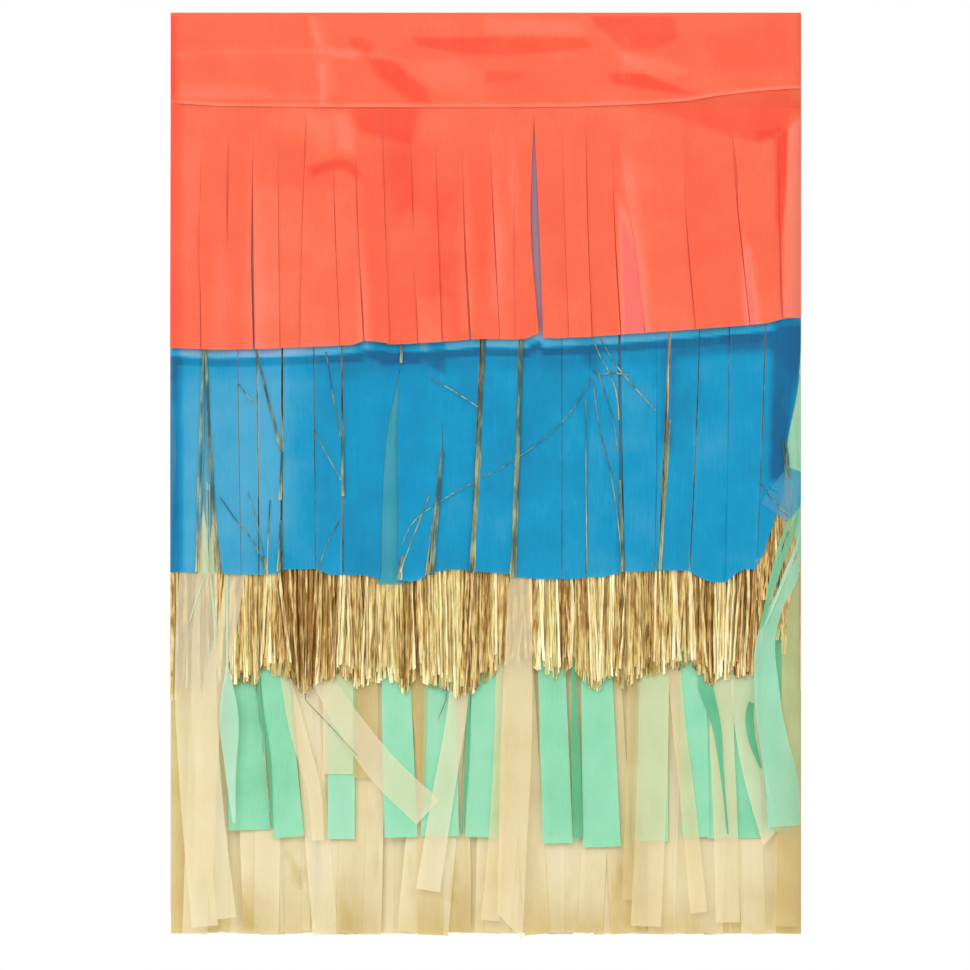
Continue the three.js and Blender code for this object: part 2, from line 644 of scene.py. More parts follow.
def bundle(top: tuple, foot: tuple, width: tuple, count: int, wander: float = 0.16) -> tuple:
    """Foil strands that show in a slit of the blue sheet.

    Args:
        top: Column and row of the bundle's upper end.
        foot: Column and row of its lower end.
        width: Its width in pixels at the upper and at the lower end.
        count: Number of strands.
        wander: How far a strand may stray to either side, as a share of the width.

    Returns:
        The spines of the strands.
    """
    rng = np.random.default_rng(int(foot[0]))
    shares = np.linspace(0, 1, 7)
    spines = []
    for place in np.linspace(-0.5, 0.5, count) if count > 1 else (0.0,):
        strays = rng.uniform(-wander, wander, len(shares))
        spines.append(tuple(
            (top[0] + (foot[0] - top[0]) * s + (width[0] + (width[1] - width[0]) * s) * (place + w),
             top[1] + (foot[1] - top[1]) * s)
            for s, w in zip(shares, strays)
        ))
    return tuple(spines)


class Nodes:
    """Short ways to add and join nodes in one tree."""

    def __init__(self, tree: bpy.types.NodeTree) -> None:
        """Works on the given tree."""
        self.tree = tree

    def add(self, kind: str, inputs: dict | None = None, **settings: object) -> bpy.types.Node:
        """Adds a node.

        Args:
            kind: Blender's name of the node type.
            inputs: Values or output sockets for its inputs, by name or number.
            settings: Properties of the node.

        Returns:
            The new node.
        """
        node = self.tree.nodes.new(kind)
        for name, value in settings.items():
            setattr(node, name, value)
        for key, value in (inputs or {}).items():
            socket = node.inputs[key] if isinstance(key, int) else next(
                s for s in node.inputs if s.name == key and s.enabled
            )
            if isinstance(value, bpy.types.NodeSocket):
                self.tree.links.new(value, socket)
            else:
                socket.default_value = value
        return node

    def math(self, operation: str, *values: Feed) -> Feed:
        """Adds a Math node and returns its output."""
        return self.add("ShaderNodeMath", dict(enumerate(values)), operation=operation).outputs[0]

    def total(self, *values: Feed) -> Feed:
        """Adds up any number of values."""
        return reduce(lambda so_far, value: self.math("ADD", so_far, value), values)

    def product(self, *values: Feed) -> Feed:
        """Multiplies any number of values."""
        return reduce(lambda so_far, value: self.math("MULTIPLY", so_far, value), values)

    def vector(self, x: Feed = 0.0, y: Feed = 0.0, z: Feed = 0.0) -> Feed:
        """Joins three values into a vector."""
        return self.add("ShaderNodeCombineXYZ", {0: x, 1: y, 2: z}).outputs[0]

    def noise(self, place: Feed, scale: Feed, detail: float, distortion: float = 0.0) -> Feed:
        """Adds a noise texture.

        Args:
            place: Where on the pattern each point lies.
            scale: How fine the pattern is.
            detail: How many finer layers it has.
            distortion: How much it is swirled.

        Returns:
            Its value, with 0.5 as the mean.
        """
        return self.add("ShaderNodeTexNoise", {
            "Vector": place, "Scale": scale, "Detail": detail, "Distortion": distortion,
        }).outputs[0]

    def spot(self, drawn_out: float | None = None) -> Feed:
        """Adds the nodes for a pattern that keeps its place on the object.

        Args:
            drawn_out: Share below 1 by which the pattern changes more slowly along Z, or None.

        Returns:
            The place of each point.
        """
        place = self.add("ShaderNodeTexCoord").outputs["Object"]
        if drawn_out is None:
            return place
        return self.add("ShaderNodeMapping", {"Vector": place, "Scale": (1.0, 1.0, drawn_out)}).outputs[0]

    def tone(self) -> Feed:
        """The tone that the mesh keeps for each point."""
        return self.add("ShaderNodeAttribute", attribute_name="tone").outputs["Fac"]

    def bump(self, strength: float, distance: float, height: Feed) -> Feed:
        """Adds a Bump node.

        Args:
            strength: How much of the relief shows.
            distance: Its full height, in metres.
            height: Its height at each point, 0 to 1.

        Returns:
            The normal.
        """
        return self.add("ShaderNodeBump", {
            "Strength": strength, "Distance": distance, "Height": height,
        }).outputs[0]


class HangingStrips:
    """Geometry Nodes that hang a row of strips from a seam: tissue strips or foil strands.

    SWAY_NOISE and KINK_NOISE give how fast each noise changes across the row and down the
    strips, and its detail. FALL_ROLL and KINK_ROLL are the parts that the fall and the kinks
    have in a strip's roll, which is held near the seam and free from 1 / ROLL_PACE metres below
    it. CLUMP_POWER keeps clumps near the tips.
    """

    SWAY_NOISE = (90.0, 7.0, 1.0)
    KINK_NOISE = (3100.0, 95.0, 2.0)
    FALL_ROLL = 0.6
    KINK_ROLL = 0.8
    ROLL_PACE = 60.0
    CLUMP_POWER = 3.0
    DRAWS = ("lean", "turn", "short", "fore", "tone")
    INPUTS = {
        "Count": ("Int", 50), "Pitch": ("Float", 6.25 * MM), "Width": ("Float", 12.5 * MM),
        "Heading": ("Float", 30 * MM), "Drop": ("Float", 0.2), "Ragged": ("Float", 2 * MM),
        "Slant": ("Float", 0.02), "Sway": ("Float", 4 * MM), "Kink": ("Float", 0.0),
        "Clump": ("Float", 0.0), "Clump Pitch": ("Float", 24 * MM), "Twist": ("Float", 0.06),
        "Ply Gap": ("Float", 0.25 * MM), "Spread": ("Float", 0.15 * MM),
        "Depth Limit": ("Float", 0.35 * MM), "Rows": ("Int", 18), "Columns": ("Int", 3),
        "Tone Low": ("Float", 0.34), "Tone High": ("Float", 0.58),
        "Seed": ("Int", 1), "Material": ("Material", None),
    }

    def __init__(self) -> None:
        """Builds the tree once."""
        self.tree = bpy.data.node_groups.new("HangingStrips", "GeometryNodeTree")
        face = self.tree.interface
        face.new_socket(name="Geometry", in_out="INPUT", socket_type="NodeSocketGeometry")
        self.identifiers = {}
        for name, (kind, value) in self.INPUTS.items():
            item = face.new_socket(name=name, in_out="INPUT", socket_type="NodeSocket" + kind)
            if value is not None:
                item.default_value = value
            self.identifiers[name] = item.identifier
        face.new_socket(name="Geometry", in_out="OUTPUT", socket_type="NodeSocketGeometry")
        self.build()

    def build(self) -> None:
        """Adds the nodes: one strip, a row of them, and the way each one hangs."""
        n = Nodes(self.tree)
        given = n.add("NodeGroupInput").outputs
        strip = n.add("GeometryNodeMeshGrid", {
            "Size X": 1.0, "Size Y": 1.0, "Vertices X": given["Columns"], "Vertices Y": given["Rows"],
        }).outputs["Mesh"]
        place = n.add("ShaderNodeSeparateXYZ", {0: n.add("GeometryNodeInputPosition").outputs[0]})
        strip = self.store(n, strip, "across", place.outputs["X"])
        strip = self.store(n, strip, "down", n.math("SUBTRACT", 0.5, place.outputs["Y"]))
        span = n.product(n.math("SUBTRACT", given["Count"], 1), given["Pitch"])
        row = n.add("GeometryNodeMeshLine", {
            "Count": given["Count"], "Start Location": n.vector(n.product(span, -0.5)),
            "Offset": n.vector(given["Pitch"]),
        }).outputs["Mesh"]
        stand = n.add("ShaderNodeSeparateXYZ", {0: n.add("GeometryNodeInputPosition").outputs[0]})
        row = self.store(n, row, "stand", stand.outputs["X"])
        index = n.add("GeometryNodeInputIndex").outputs[0]
        row = self.store(n, row, "ply", n.math("SUBTRACT", n.math("MODULO", index, 2.0), 0.5))
        for offset, name in enumerate(self.DRAWS):
            seed = n.total(n.product(given["Seed"], 7), offset)
            low, high = (given["Tone Low"], given["Tone High"]) if name == "tone" else (0.0, 1.0)
            draw = n.add("FunctionNodeRandomValue", {"Min": low, "Max": high, "Seed": seed},
                         data_type="FLOAT")
            row = self.store(n, row, name, next(o for o in draw.outputs if o.enabled))
        spots = n.add("GeometryNodeMeshToPoints", {"Mesh": row}).outputs[0]
        strips = n.add("GeometryNodeInstanceOnPoints", {"Points": spots, "Instance": strip}).outputs[0]
        strips = n.add("GeometryNodeRealizeInstances", {0: strips}).outputs[0]
        strips = n.add("GeometryNodeSetPosition", {
            "Geometry": strips, "Position": self.hanging_place(n, given),
        }).outputs[0]
        strips = n.add("GeometryNodeRealizeInstances", {0: strips}).outputs[0]
        strips = n.add("GeometryNodeSetMaterial", {"Geometry": strips, "Material": given["Material"]})
        n.add("NodeGroupOutput", {0: strips.outputs[0]})

    @staticmethod
    def store(n: Nodes, geometry: Feed, name: str, value: Feed) -> Feed:
        """Keeps a value on each point.

        Args:
            n: The tree's helper.
            geometry: The geometry.
            name: Name to keep the value under.
            value: The value.

        Returns:
            The geometry with the value on it.
        """
        return n.add("GeometryNodeStoreNamedAttribute", {
            "Geometry": geometry, "Name": name, "Value": value,
        }, data_type="FLOAT", domain="POINT").outputs[0]

    def hanging_place(self, n: Nodes, given: bpy.types.NodeOutputs) -> Feed:
        """Works out where each point of each strip hangs.

        Args:
            n: The tree's helper.
            given: Outputs of the group's input node.

        Returns:
            A vector output with the place of each point.
        """
        def kept(name: str) -> Feed:
            """A value that was stored on the points."""
            node = n.add("GeometryNodeInputNamedAttribute", {"Name": name}, data_type="FLOAT")
            return node.outputs[0]

        def centred(name: str) -> Feed:
            """A stored value from 0 to 1, brought to -1 to 1."""
            return n.math("SUBTRACT", n.product(kept(name), 2.0), 1.0)

        def drift(across: float, along: float, detail: float) -> Feed:
            """Noise about zero that changes so fast across the row and down the strips."""
            place = n.vector(n.product(kept("stand"), across), n.product(z, along), seed)
            return n.math("SUBTRACT", n.noise(place, 1.0, detail), 0.5)

        seed = n.product(given["Seed"], 3.7)
        drop = n.math("SUBTRACT", given["Drop"], n.product(given["Ragged"], kept("short")))
        z = n.math("SUBTRACT", given["Heading"], n.product(n.total(drop, given["Heading"]), kept("down")))
        below = n.math("MAXIMUM", n.product(z, -1.0), 0.0)
        fall = n.math("DIVIDE", below, given["Drop"])
        sway = n.product(drift(*self.SWAY_NOISE), given["Sway"], fall)
        kink = drift(*self.KINK_NOISE)
        knot = n.total(kept("stand"), n.product(given["Clump Pitch"], 0.5))
        knot = n.math("SUBTRACT", n.math("SNAP", knot, given["Clump Pitch"]), kept("stand"))
        pull = n.product(knot, given["Clump"], n.math("POWER", fall, self.CLUMP_POWER))
        roll = n.total(n.product(fall, self.FALL_ROLL), n.product(n.total(kink, 0.5), self.KINK_ROLL))
        roll = n.product(centred("turn"), given["Twist"], roll,
                         n.math("MINIMUM", n.product(below, self.ROLL_PACE), 1.0))
        reach = n.product(kept("across"), given["Width"])
        x = n.total(
            kept("stand"), n.product(centred("lean"), given["Slant"], below), sway,
            n.product(kink, given["Kink"]), pull, n.product(reach, n.math("COSINE", roll)),
        )
        y = n.total(
            n.product(kept("ply"), given["Ply Gap"]), n.product(centred("fore"), given["Spread"], fall),
            n.product(reach, n.math("SINE", roll)),
        )
        limit = given["Depth Limit"]
        y = n.math("MAXIMUM", n.math("MINIMUM", y, limit), n.product(limit, -1.0))
        return n.vector(x, y, z)

    def row(self, name: str, values: dict) -> bpy.types.Mesh:
        """Runs the tree once.

        Args:
            name: Name of the mesh.
            values: Values of the tree's inputs by name.

        Returns:
            A plain mesh whose seam lies at height zero.
        """
        carrier = bpy.data.objects.new(name + "_carrier", bpy.data.meshes.new(name + "_carrier"))
        bpy.context.scene.collection.objects.link(carrier)
        modifier = carrier.modifiers.new("HangingStrips", "NODES")
        modifier.node_group = self.tree
        for key, value in values.items():
            modifier[self.identifiers[key]] = value
        bpy.context.view_layer.update()
        graph = bpy.context.evaluated_depsgraph_get()
        mesh = bpy.data.meshes.new_from_object(carrier.evaluated_get(graph))
        mesh.name = name
        bpy.data.objects.remove(carrier)
        return mesh


def draw_in(points: np.ndarray, reach: float = 12 * MM, bins: int = 24) -> None:
    """Draws the outer strips in where they would stand out past the panel's sides.

    Args:
        points: Points of a row of strips below height zero, changed in place.
        reach: How far in from each side strips give way.
        bins: Number of heights at which the row is measured.
    """
    half, start = PHOTO.half_width, PHOTO.half_width - reach
    x, fall = np.abs(points[:, 0]), np.clip(points[:, 2] / points[:, 2].min(), 0, 1)
    widest = np.full(bins + 1, half)
    np.maximum.at(widest, np.rint(fall * bins).astype(int), x)
    widest[1:-1] = np.maximum(widest[1:-1], np.maximum(widest[:-2], widest[2:]))
    limit = np.interp(fall * bins, np.arange(bins + 1), widest)
    drawn = np.minimum(start + (x - start) * reach / (limit - start), half)
    points[:, 0] = np.sign(points[:, 0]) * np.where(x > start, drawn, x)


def place_row(mesh: bpy.types.Mesh, panel: Panel, tint: Tint,
              trim: Callable | None = None) -> bpy.types.Object:
    """Hangs a finished row of strips in its panel.

    Args:
        mesh: Row whose seam lies at height zero and whose front looks along -Y.
        panel: The panel.
        tint: The layer.
        trim: Changes the points before they are placed, or None.

    Returns:
        The finished object.
    """
    points = np.empty(len(mesh.vertices) * 3, np.float32)
    mesh.vertices.foreach_get("co", points)
    points = points.reshape(-1, 3).astype(float)
    if trim:
        trim(points)
    points[:, :2] *= -panel.facing
    draw_in(points)
    points += (0.0, panel.layers[tint], panel.hang.seam)
    mesh.vertices.foreach_set("co", panel.settle(points).astype(np.float32).reshape(-1))
    return finished(mesh.name, mesh)


def srgb(red: int, green: int, blue: int) -> tuple:
    """Turns a colour as it is written on a screen into a linear one.

    Args:
        red: Red from 0 to 255.
        green: Green from 0 to 255.
        blue: Blue from 0 to 255.

    Returns:
        The linear colour, with alpha 1.
    """
    def linear(level: int) -> float:
        """Linear value of one channel."""
        share = level / 255
        return share / 12.92 if share <= 0.04045 else ((share + 0.055) / 1.055) ** 2.4

    return (linear(red), linear(green), linear(blue), 1.0)


def new_material(name: str) -> tuple:
    """Makes an empty material.

    Args:
        name: Its name.

    Returns:
        The material and the helper of its tree.
    """
    made = bpy.data.materials.new(name)
    made.use_nodes = True
    made.node_tree.nodes.clear()
    return made, Nodes(made.node_tree)


def colour_ramp(n: Nodes, value: Feed, stops: tuple) -> Feed:
    """Adds a colour ramp.

    Args:
        n: The tree's helper.
        value: The factor.
        stops: Pairs of position and colour from first to last.

    Returns:
        The ramp's colour output.
    """
    ramp = n.add("ShaderNodeValToRGB", {"Fac": value})
    places = ramp.color_ramp.elements
    while len(places) < len(stops):
        places.new(0.5)
    for place, (position, colour) in zip(places, stops):
        place.position, place.color = position, colour
    return ramp.outputs[0]


@dataclass(frozen=True)
class Finish:
    """A material and the record's slot that it stands for."""

    slot: str
    material: bpy.types.Material

    def dress(self, piece: bpy.types.Object) -> None:
        """Gives a piece this finish and reports it.

        Args:
            piece: The piece.
        """
        piece.data.materials.clear()
        piece.data.materials.append(self.material)
        LOG.info("%s in %s, %d points", piece.name, self.slot, len(piece.data.vertices))


class PaperGrain:
    """Shader group for thin tissue: cloudy tone, long fibres and soft crinkles."""

    def __init__(self) -> None:
        """Builds the group once."""
        self.tree = bpy.data.node_groups.new("PaperGrain", "ShaderNodeTree")
        face = self.tree.interface
        kind = "NodeSocketFloat"
        for name, value in (("Cloud Scale", 38.0), ("Fibre Scale", 900.0), ("Crinkle Scale", 75.0)):
            face.new_socket(name=name, in_out="INPUT", socket_type=kind).default_value = value
        for name in ("Cloud", "Height"):
            face.new_socket(name=name, in_out="OUTPUT", socket_type=kind)
        n = Nodes(self.tree)
        given = n.add("NodeGroupInput").outputs
        cloud = n.noise(n.spot(), given["Cloud Scale"], 4.0)
        fibre = n.noise(n.spot(drawn_out=0.12), given["Fibre Scale"], 3.0)
        crease = n.noise(n.spot(), given["Crinkle Scale"], 3.0, distortion=1.1)
        ridge = n.math("ABSOLUTE", n.math("SUBTRACT", crease, 0.5))
        height = n.total(n.product(fibre, 0.12), n.product(ridge, -1.4))
        tone = n.total(n.product(cloud, 0.75), n.product(fibre, 0.25))
        n.add("NodeGroupOutput", {0: tone, 1: height})


@dataclass(frozen=True)
class TissueFinish:
    """Thin coloured tissue: matte, a little translucent, with a cloudy tone and crinkles.

    tones are its colours from dark to pale, and last the colour of a thin spot. cover is how much
    of the light it stops, and glow how much of that it passes on softly. cloud and crinkle are
    how strongly its tone and its relief vary.
    """

    slot: str
    tones: tuple
    cover: float = 0.9
    cloud: float = 0.6
    glow: float = 0.12
    crinkle: float = 0.35

    def thin(self, cover: float) -> "TissueFinish":
        """The same tissue in fewer plies, which stop less of the light."""
        return replace(self, cover=cover)

    def finish(self, grain: PaperGrain) -> Finish:
        """Makes the finish.

        Args:
            grain: The shared tissue group.

        Returns:
            The finish.
        """
        made, n = new_material(f"{self.slot}_look_{self.cover * 100:.0f}")
        paper = n.add("ShaderNodeGroup", node_tree=grain.tree)
        cloud = n.product(n.math("SUBTRACT", paper.outputs["Cloud"], 0.5), self.cloud)
        stops = tuple(zip((0.0, 0.45, 0.8, 1.0), self.tones))
        base = colour_ramp(n, n.total(n.tone(), cloud), stops)
        bump = n.bump(self.crinkle, 0.6 * MM, paper.outputs["Height"])
        surface = n.add("ShaderNodeBsdfPrincipled", {
            "Base Color": base, "Roughness": 0.78, "Alpha": self.cover, "Normal": bump,
            "Specular IOR Level": 0.12,
        }).outputs[0]
        light_through = n.add("ShaderNodeBsdfTranslucent", {"Color": base, "Normal": bump}).outputs[0]
        both = n.add("ShaderNodeMixShader", {0: self.glow, 1: surface, 2: light_through}).outputs[0]
        n.add("ShaderNodeOutputMaterial", {"Surface": both})
        return Finish(self.slot, made)


@dataclass(frozen=True)
class FoilFinish:
    """Crinkled gold film: bright and dark flecks along each strand, painted reflections.

    tones are its colours from dark to pale. scale is how fine the flecks are, and streak draws
    them out along the strands.
    """

    slot: str
    tones: tuple
    name: str = "gold_foil_look"
    metallic: float = 0.55
    scale: float = 950.0
    streak: float = 0.13

    def finish(self) -> Finish:
        """Makes the finish.

        Returns:
            The finish.
        """
        made, n = new_material(self.name)
        drawn = n.spot(self.streak)
        # Flecks and glints along the strands are painted reflections of the crinkled film.
        fleck = n.noise(drawn, self.scale, 3.0)
        glint = n.noise(drawn, self.scale * 3.4, 1.0)
        mixed = n.total(n.product(fleck, 0.7), n.product(glint, 0.14), n.product(n.tone(), 0.32))
        base = colour_ramp(n, mixed, tuple(zip((0.38, 0.5, 0.62, 0.78), self.tones)))
        bump = n.bump(0.4, 0.5 * MM, n.noise(drawn, 420.0, 2.0))
        surface = n.add("ShaderNodeBsdfPrincipled", {
            "Base Color": base, "Metallic": self.metallic, "Roughness": 0.36, "Normal": bump,
        }).outputs[0]
        n.add("ShaderNodeOutputMaterial", {"Surface": surface})
        return Finish(self.slot, made)


@dataclass(frozen=True)
class TapeFinish:
    """Woven cotton tape, with the shade between its threads."""

    slot: str
    colour: tuple
    shade: tuple

    def finish(self) -> Finish:
        """Makes the finish.

        Returns:
            The finish.
        """
        made, n = new_material(self.slot + "_look")
        spot = n.spot()
        threads = [
            n.add("ShaderNodeTexWave", {"Vector": spot, "Scale": 900.0, "Distortion": 1.5},
                  bands_direction=way).outputs[1]
            for way in ("X", "Z")
        ]
        weave = n.product(*threads)
        base = n.add("ShaderNodeMix", {"Factor": weave, "A": self.shade, "B": self.colour},
                     data_type="RGBA").outputs["Result"]
        surface = n.add("ShaderNodeBsdfPrincipled", {
            "Base Color": base, "Roughness": 0.85, "Normal": n.bump(0.4, 0.2 * MM, weave),
        }).outputs[0]
        n.add("ShaderNodeOutputMaterial", {"Surface": surface})
        return Finish(self.slot, made)


class Finishes:
    """All finishes of the garland, made once."""

    def __init__(self) -> None:
        """Makes the materials."""
        grain = PaperGrain()
        tissues = {
            Tint.CORAL: TissueFinish("coral_tissue", (
                srgb(252, 84, 60), srgb(255, 114, 82), srgb(255, 138, 112), srgb(253, 122, 112),
            ), cover=0.93),
            Tint.BLUE: TissueFinish("blue_tissue", (
                srgb(28, 104, 152), srgb(20, 158, 206), srgb(92, 182, 220), srgb(140, 186, 228),
            ), cover=0.92),
            Tint.MINT: TissueFinish("mint_tissue", (
                srgb(96, 184, 136), srgb(152, 228, 187), srgb(188, 236, 206), srgb(208, 240, 216),
            ), cover=0.92),
            Tint.IVORY: TissueFinish("ivory_tissue", (
                srgb(220, 196, 128), srgb(250, 236, 194), srgb(254, 246, 216), srgb(255, 250, 232),
            ), cover=0.84, glow=0.2),
        }
        self.tissue = {tint: tissue.finish(grain) for tint, tissue in tissues.items()}
        self.tissue[Tint.GOLD] = FoilFinish("gold_foil", (
            srgb(160, 112, 52), srgb(214, 181, 110), srgb(234, 214, 150), srgb(252, 246, 202),
        )).finish()
        self.shaded_foil = FoilFinish("gold_foil", (
            srgb(48, 84, 88), srgb(116, 136, 110), srgb(176, 178, 128), srgb(228, 220, 166),
        ), "gold_foil_in_shade_look", 0.3, 330.0, 0.22).finish()
        self.sheer_coral = tissues[Tint.CORAL].thin(0.27).finish(grain)
        covers = {Tint.CORAL: 0.82, Tint.BLUE: 0.55, Tint.MINT: 0.7, Tint.IVORY: 0.55}
        self.one_ply = {tint: tissues[tint].thin(cover).finish(grain) for tint, cover in covers.items()}
        self.tape = TapeFinish("cotton_tape", srgb(246, 242, 230), srgb(214, 206, 188)).finish()


@dataclass(frozen=True)
class Wrinkle:
    """A crease in the header band, from one pixel place to another.

    rise is its height in millimetres and mark how much it pales the paper.
    """

    start: tuple
    end: tuple
    width: float
    rise: float
    mark: float = 0.0


@dataclass
class FoldedStrip:
    """A strip folded over the top of a panel: its front flap, the round fold and its back flap.

    stands_for is its CAD node and edge the cut edge of its front flap. The flap's rows lie closer
    together near that edge, by the power crowding. crumple is how far the flap waves in
    millimetres, over crumple_pace waves a metre across and down, ground how far its relief may
    go in, and calm_reach how near a side that relief ends. tone is the tone of plain paper,
    mark_px how wide a crease shows, and edge_shine how much paler the paper is at the cut edge,
    shine_above_px over it and shine_px wide. inset_px is how far the strip stops short of the
    panel's sides, and paper its thickness in the CAD.
    """

    panel: Panel
    name: str
    stands_for: str
    edge: Hem
    wrinkles: tuple = ()
    shades: tuple = ()
    columns: int = 150
    flap_rows: int = 26
    fold_rows: int = 9
    crumple: float = 0.35
    crumple_pace: tuple = (42, 60)
    ground: float = -0.25
    inset_px: float = 0.0
    crowding: float = 1.3
    calm_reach: float = 6 * MM
    mark_px: float = 3.0
    tone: float = 0.45
    edge_shine: float = 0.3
    shine_above_px: float = 1.5
    shine_px: float = 2.0
    paper: float = 0.3 * MM

    def front_flap(self, columns: np.ndarray, radius: float, arc_centre: float) -> tuple:
        """Rows of the front flap, from its cut edge up.

        Args:
            columns: Pixel columns of the points.
            radius: How far the flap stands before the panel's middle.
            arc_centre: Height at which the fold begins.

        Returns:
            The rows of points and the rows of their tones.
        """
        x = PHOTO.across(columns)
        edge_row = self.edge.row(columns)
        top_row = float(PHOTO.row(arc_centre))
        lines, tones = [], []
        for share in np.linspace(0, 1, self.flap_rows) ** self.crowding:
            rows = edge_row + (top_row - edge_row) * share
            z = PHOTO.height(rows)
            rise, mark = np.zeros_like(x), np.zeros_like(x)
            for wrinkle in self.wrinkles:
                apart = apart_from(wrinkle.start, wrinkle.end, columns, rows)
                rise += wrinkle.rise * np.exp(-((apart / wrinkle.width) ** 2))
                mark += wrinkle.mark * np.exp(-((apart / self.mark_px) ** 2))
            across, along = self.crumple_pace
            soft = [noise.noise((a * across, b * along, self.panel.number)) for a, b in zip(x, z)]
            rise = np.maximum(rise + self.crumple * np.array(soft), self.ground)
            last_eighth = ease(share * 8 - 7)
            calm = ease((PHOTO.half_width - np.abs(x)) / self.calm_reach) * (1 - last_eighth)
            y = self.panel.centre + self.panel.facing * (radius + rise * calm * MM)
            lines.append(np.stack([x, y, z], axis=1))
            # Paler paper just above the cut edge: a painted highlight.
            edge_highlight = np.exp(-((rows - edge_row + self.shine_above_px) / self.shine_px) ** 2)
            tones.append(self.tone + mark + shaded(columns, rows, self.shades)
                         + self.edge_shine * edge_highlight)
        return lines, tones

    def make(self, finish: Finish) -> None:
        """Builds the strip as one sheet that stands for its CAD node.

        Args:
            finish: Its finish.
        """
        low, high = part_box(self.stands_for)
        radius = (high.y - low.y) / 2 - self.paper / 2
        arc_centre = high.z - (high.y - low.y) / 2
        columns = np.linspace(PHOTO.left_px + self.inset_px, PHOTO.right_px - self.inset_px, self.columns)
        x = PHOTO.across(columns)
        centre, facing = self.panel.centre, self.panel.facing
        lines, tones = self.front_flap(columns, radius, arc_centre)
        plain = [(radius * math.cos(a), arc_centre + radius * math.sin(a))
                 for a in np.linspace(0, math.pi, self.fold_rows)[1:-1]]
        plain += [(-radius, z) for z in np.linspace(arc_centre, low.z, self.flap_rows // 2)]
        for depth, z in plain:
            y = np.full_like(x, centre + facing * depth)
            lines.append(np.stack([x, y, np.full_like(x, z)], axis=1))
            tones.append(np.full_like(x, self.tone))
        cloth = Cloth(self.name)
        cloth.add(np.stack(lines), np.stack(tones))
        piece = cloth.make(self.panel, flip=facing < 0)
        finish.dress(piece)
        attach(piece, self.panel.body)
        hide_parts(self.stands_for)


def level_edge(node: str) -> Hem:
    """Straight cut edge at the lowest height of a CAD node."""
    row = float(PHOTO.row(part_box(node)[0].z))
    return Hem(((PHOTO.left_px, row), (PHOTO.right_px, row)))


FRONT_EDGE = Hem((
    (170, 103), (219, 106), (320, 107.2), (382, 107.2), (480, 107.2), (570, 107), (645, 104),
    (688, 101), (716, 96), (758, 91), (802, 88),
))

FRONT_WRINKLES = (
    Wrinkle((310, 14), (318, 42), 2.5, 0.3, 0.16),
    Wrinkle((322, 66), (322, 112), 3.0, 0.4, 0.2),
    Wrinkle((469, 14), (468, 62), 2.5, 0.2, 0.06),
    Wrinkle((626, 40), (624, 84), 3.0, 0.3, 0.12),
    Wrinkle((172, 54), (322, 50), 5.0, 0.2, 0.08),
    Wrinkle((322, 52), (372, 56), 4.0, 0.2, 0.12),
    Wrinkle((372, 56), (440, 66), 4.0, 0.2, 0.06),
    Wrinkle((176, 96), (320, 98), 5.0, 0.2, 0.08),
    Wrinkle((335, 40), (405, 88), 6.0, -0.4),
    Wrinkle((420, 44), (600, 44), 6.0, -0.3),
    Wrinkle((630, 76), (696, 93), 6.0, -0.4),
    Wrinkle((605, 16), (640, 42), 5.0, -0.3),
)

CORAL_HEM = Hem((
    (170, 348), (219, 350), (264, 349), (335, 346), (358, 345), (363, 341), (380, 342), (391, 345),
    (442, 342), (466, 340), (480, 339), (527, 340), (535, 334), (541, 333), (543, 339), (589, 337),
    (617, 335), (645, 333), (716, 328), (775, 323), (783, 318), (802, 318),
))

# Painted light and shade of the header band's crumples, with painted shade along its left end.
BAND_SHADES = (
    Shade(((166, 10), (176, 10), (177, 106), (166, 106)), -0.3, 4),
    Shade(((349, 38), (365, 38), (373, 46), (369, 55), (352, 48)), -0.26),
    Shade(((365, 58), (392, 60), (428, 90), (430, 104), (412, 102), (378, 77)), -0.32, 4),
    Shade(((413, 38), (485, 37), (585, 38), (592, 47), (552, 53), (485, 56), (448, 52), (418, 45)), -0.3),
    Shade(((592, 15), (672, 14), (678, 38), (658, 48), (625, 50), (595, 25)), -0.28, 4),
    Shade(((608, 73), (642, 73), (672, 85), (698, 95), (672, 93), (632, 87), (612, 83)), -0.34),
    Shade(((698, 32), (785, 25), (795, 72), (718, 68)), -0.12, 8),
    Shade(((485, 70), (525, 72), (522, 80), (485, 83)), -0.18),
    Shade(((312, 12), (320, 20), (328, 42), (338, 85), (325, 108), (316, 65), (313, 38)), 0.14, 6),
    Shade(((178, 82), (265, 85), (275, 98), (175, 98)), 0.16, 6),
    Shade(((328, 46), (365, 50), (352, 60), (332, 58)), 0.2, 4),
    Shade(((405, 68), (448, 60), (485, 68), (485, 104), (452, 98)), 0.12, 8),
    Shade(((485, 18), (578, 22), (585, 33), (485, 33)), 0.14, 4),
    Shade(((618, 52), (635, 55), (665, 58), (692, 70), (672, 80), (632, 70)), 0.2, 5),
    Shade(((172, 16), (306, 16), (310, 46), (172, 46)), -0.08, 8),
)
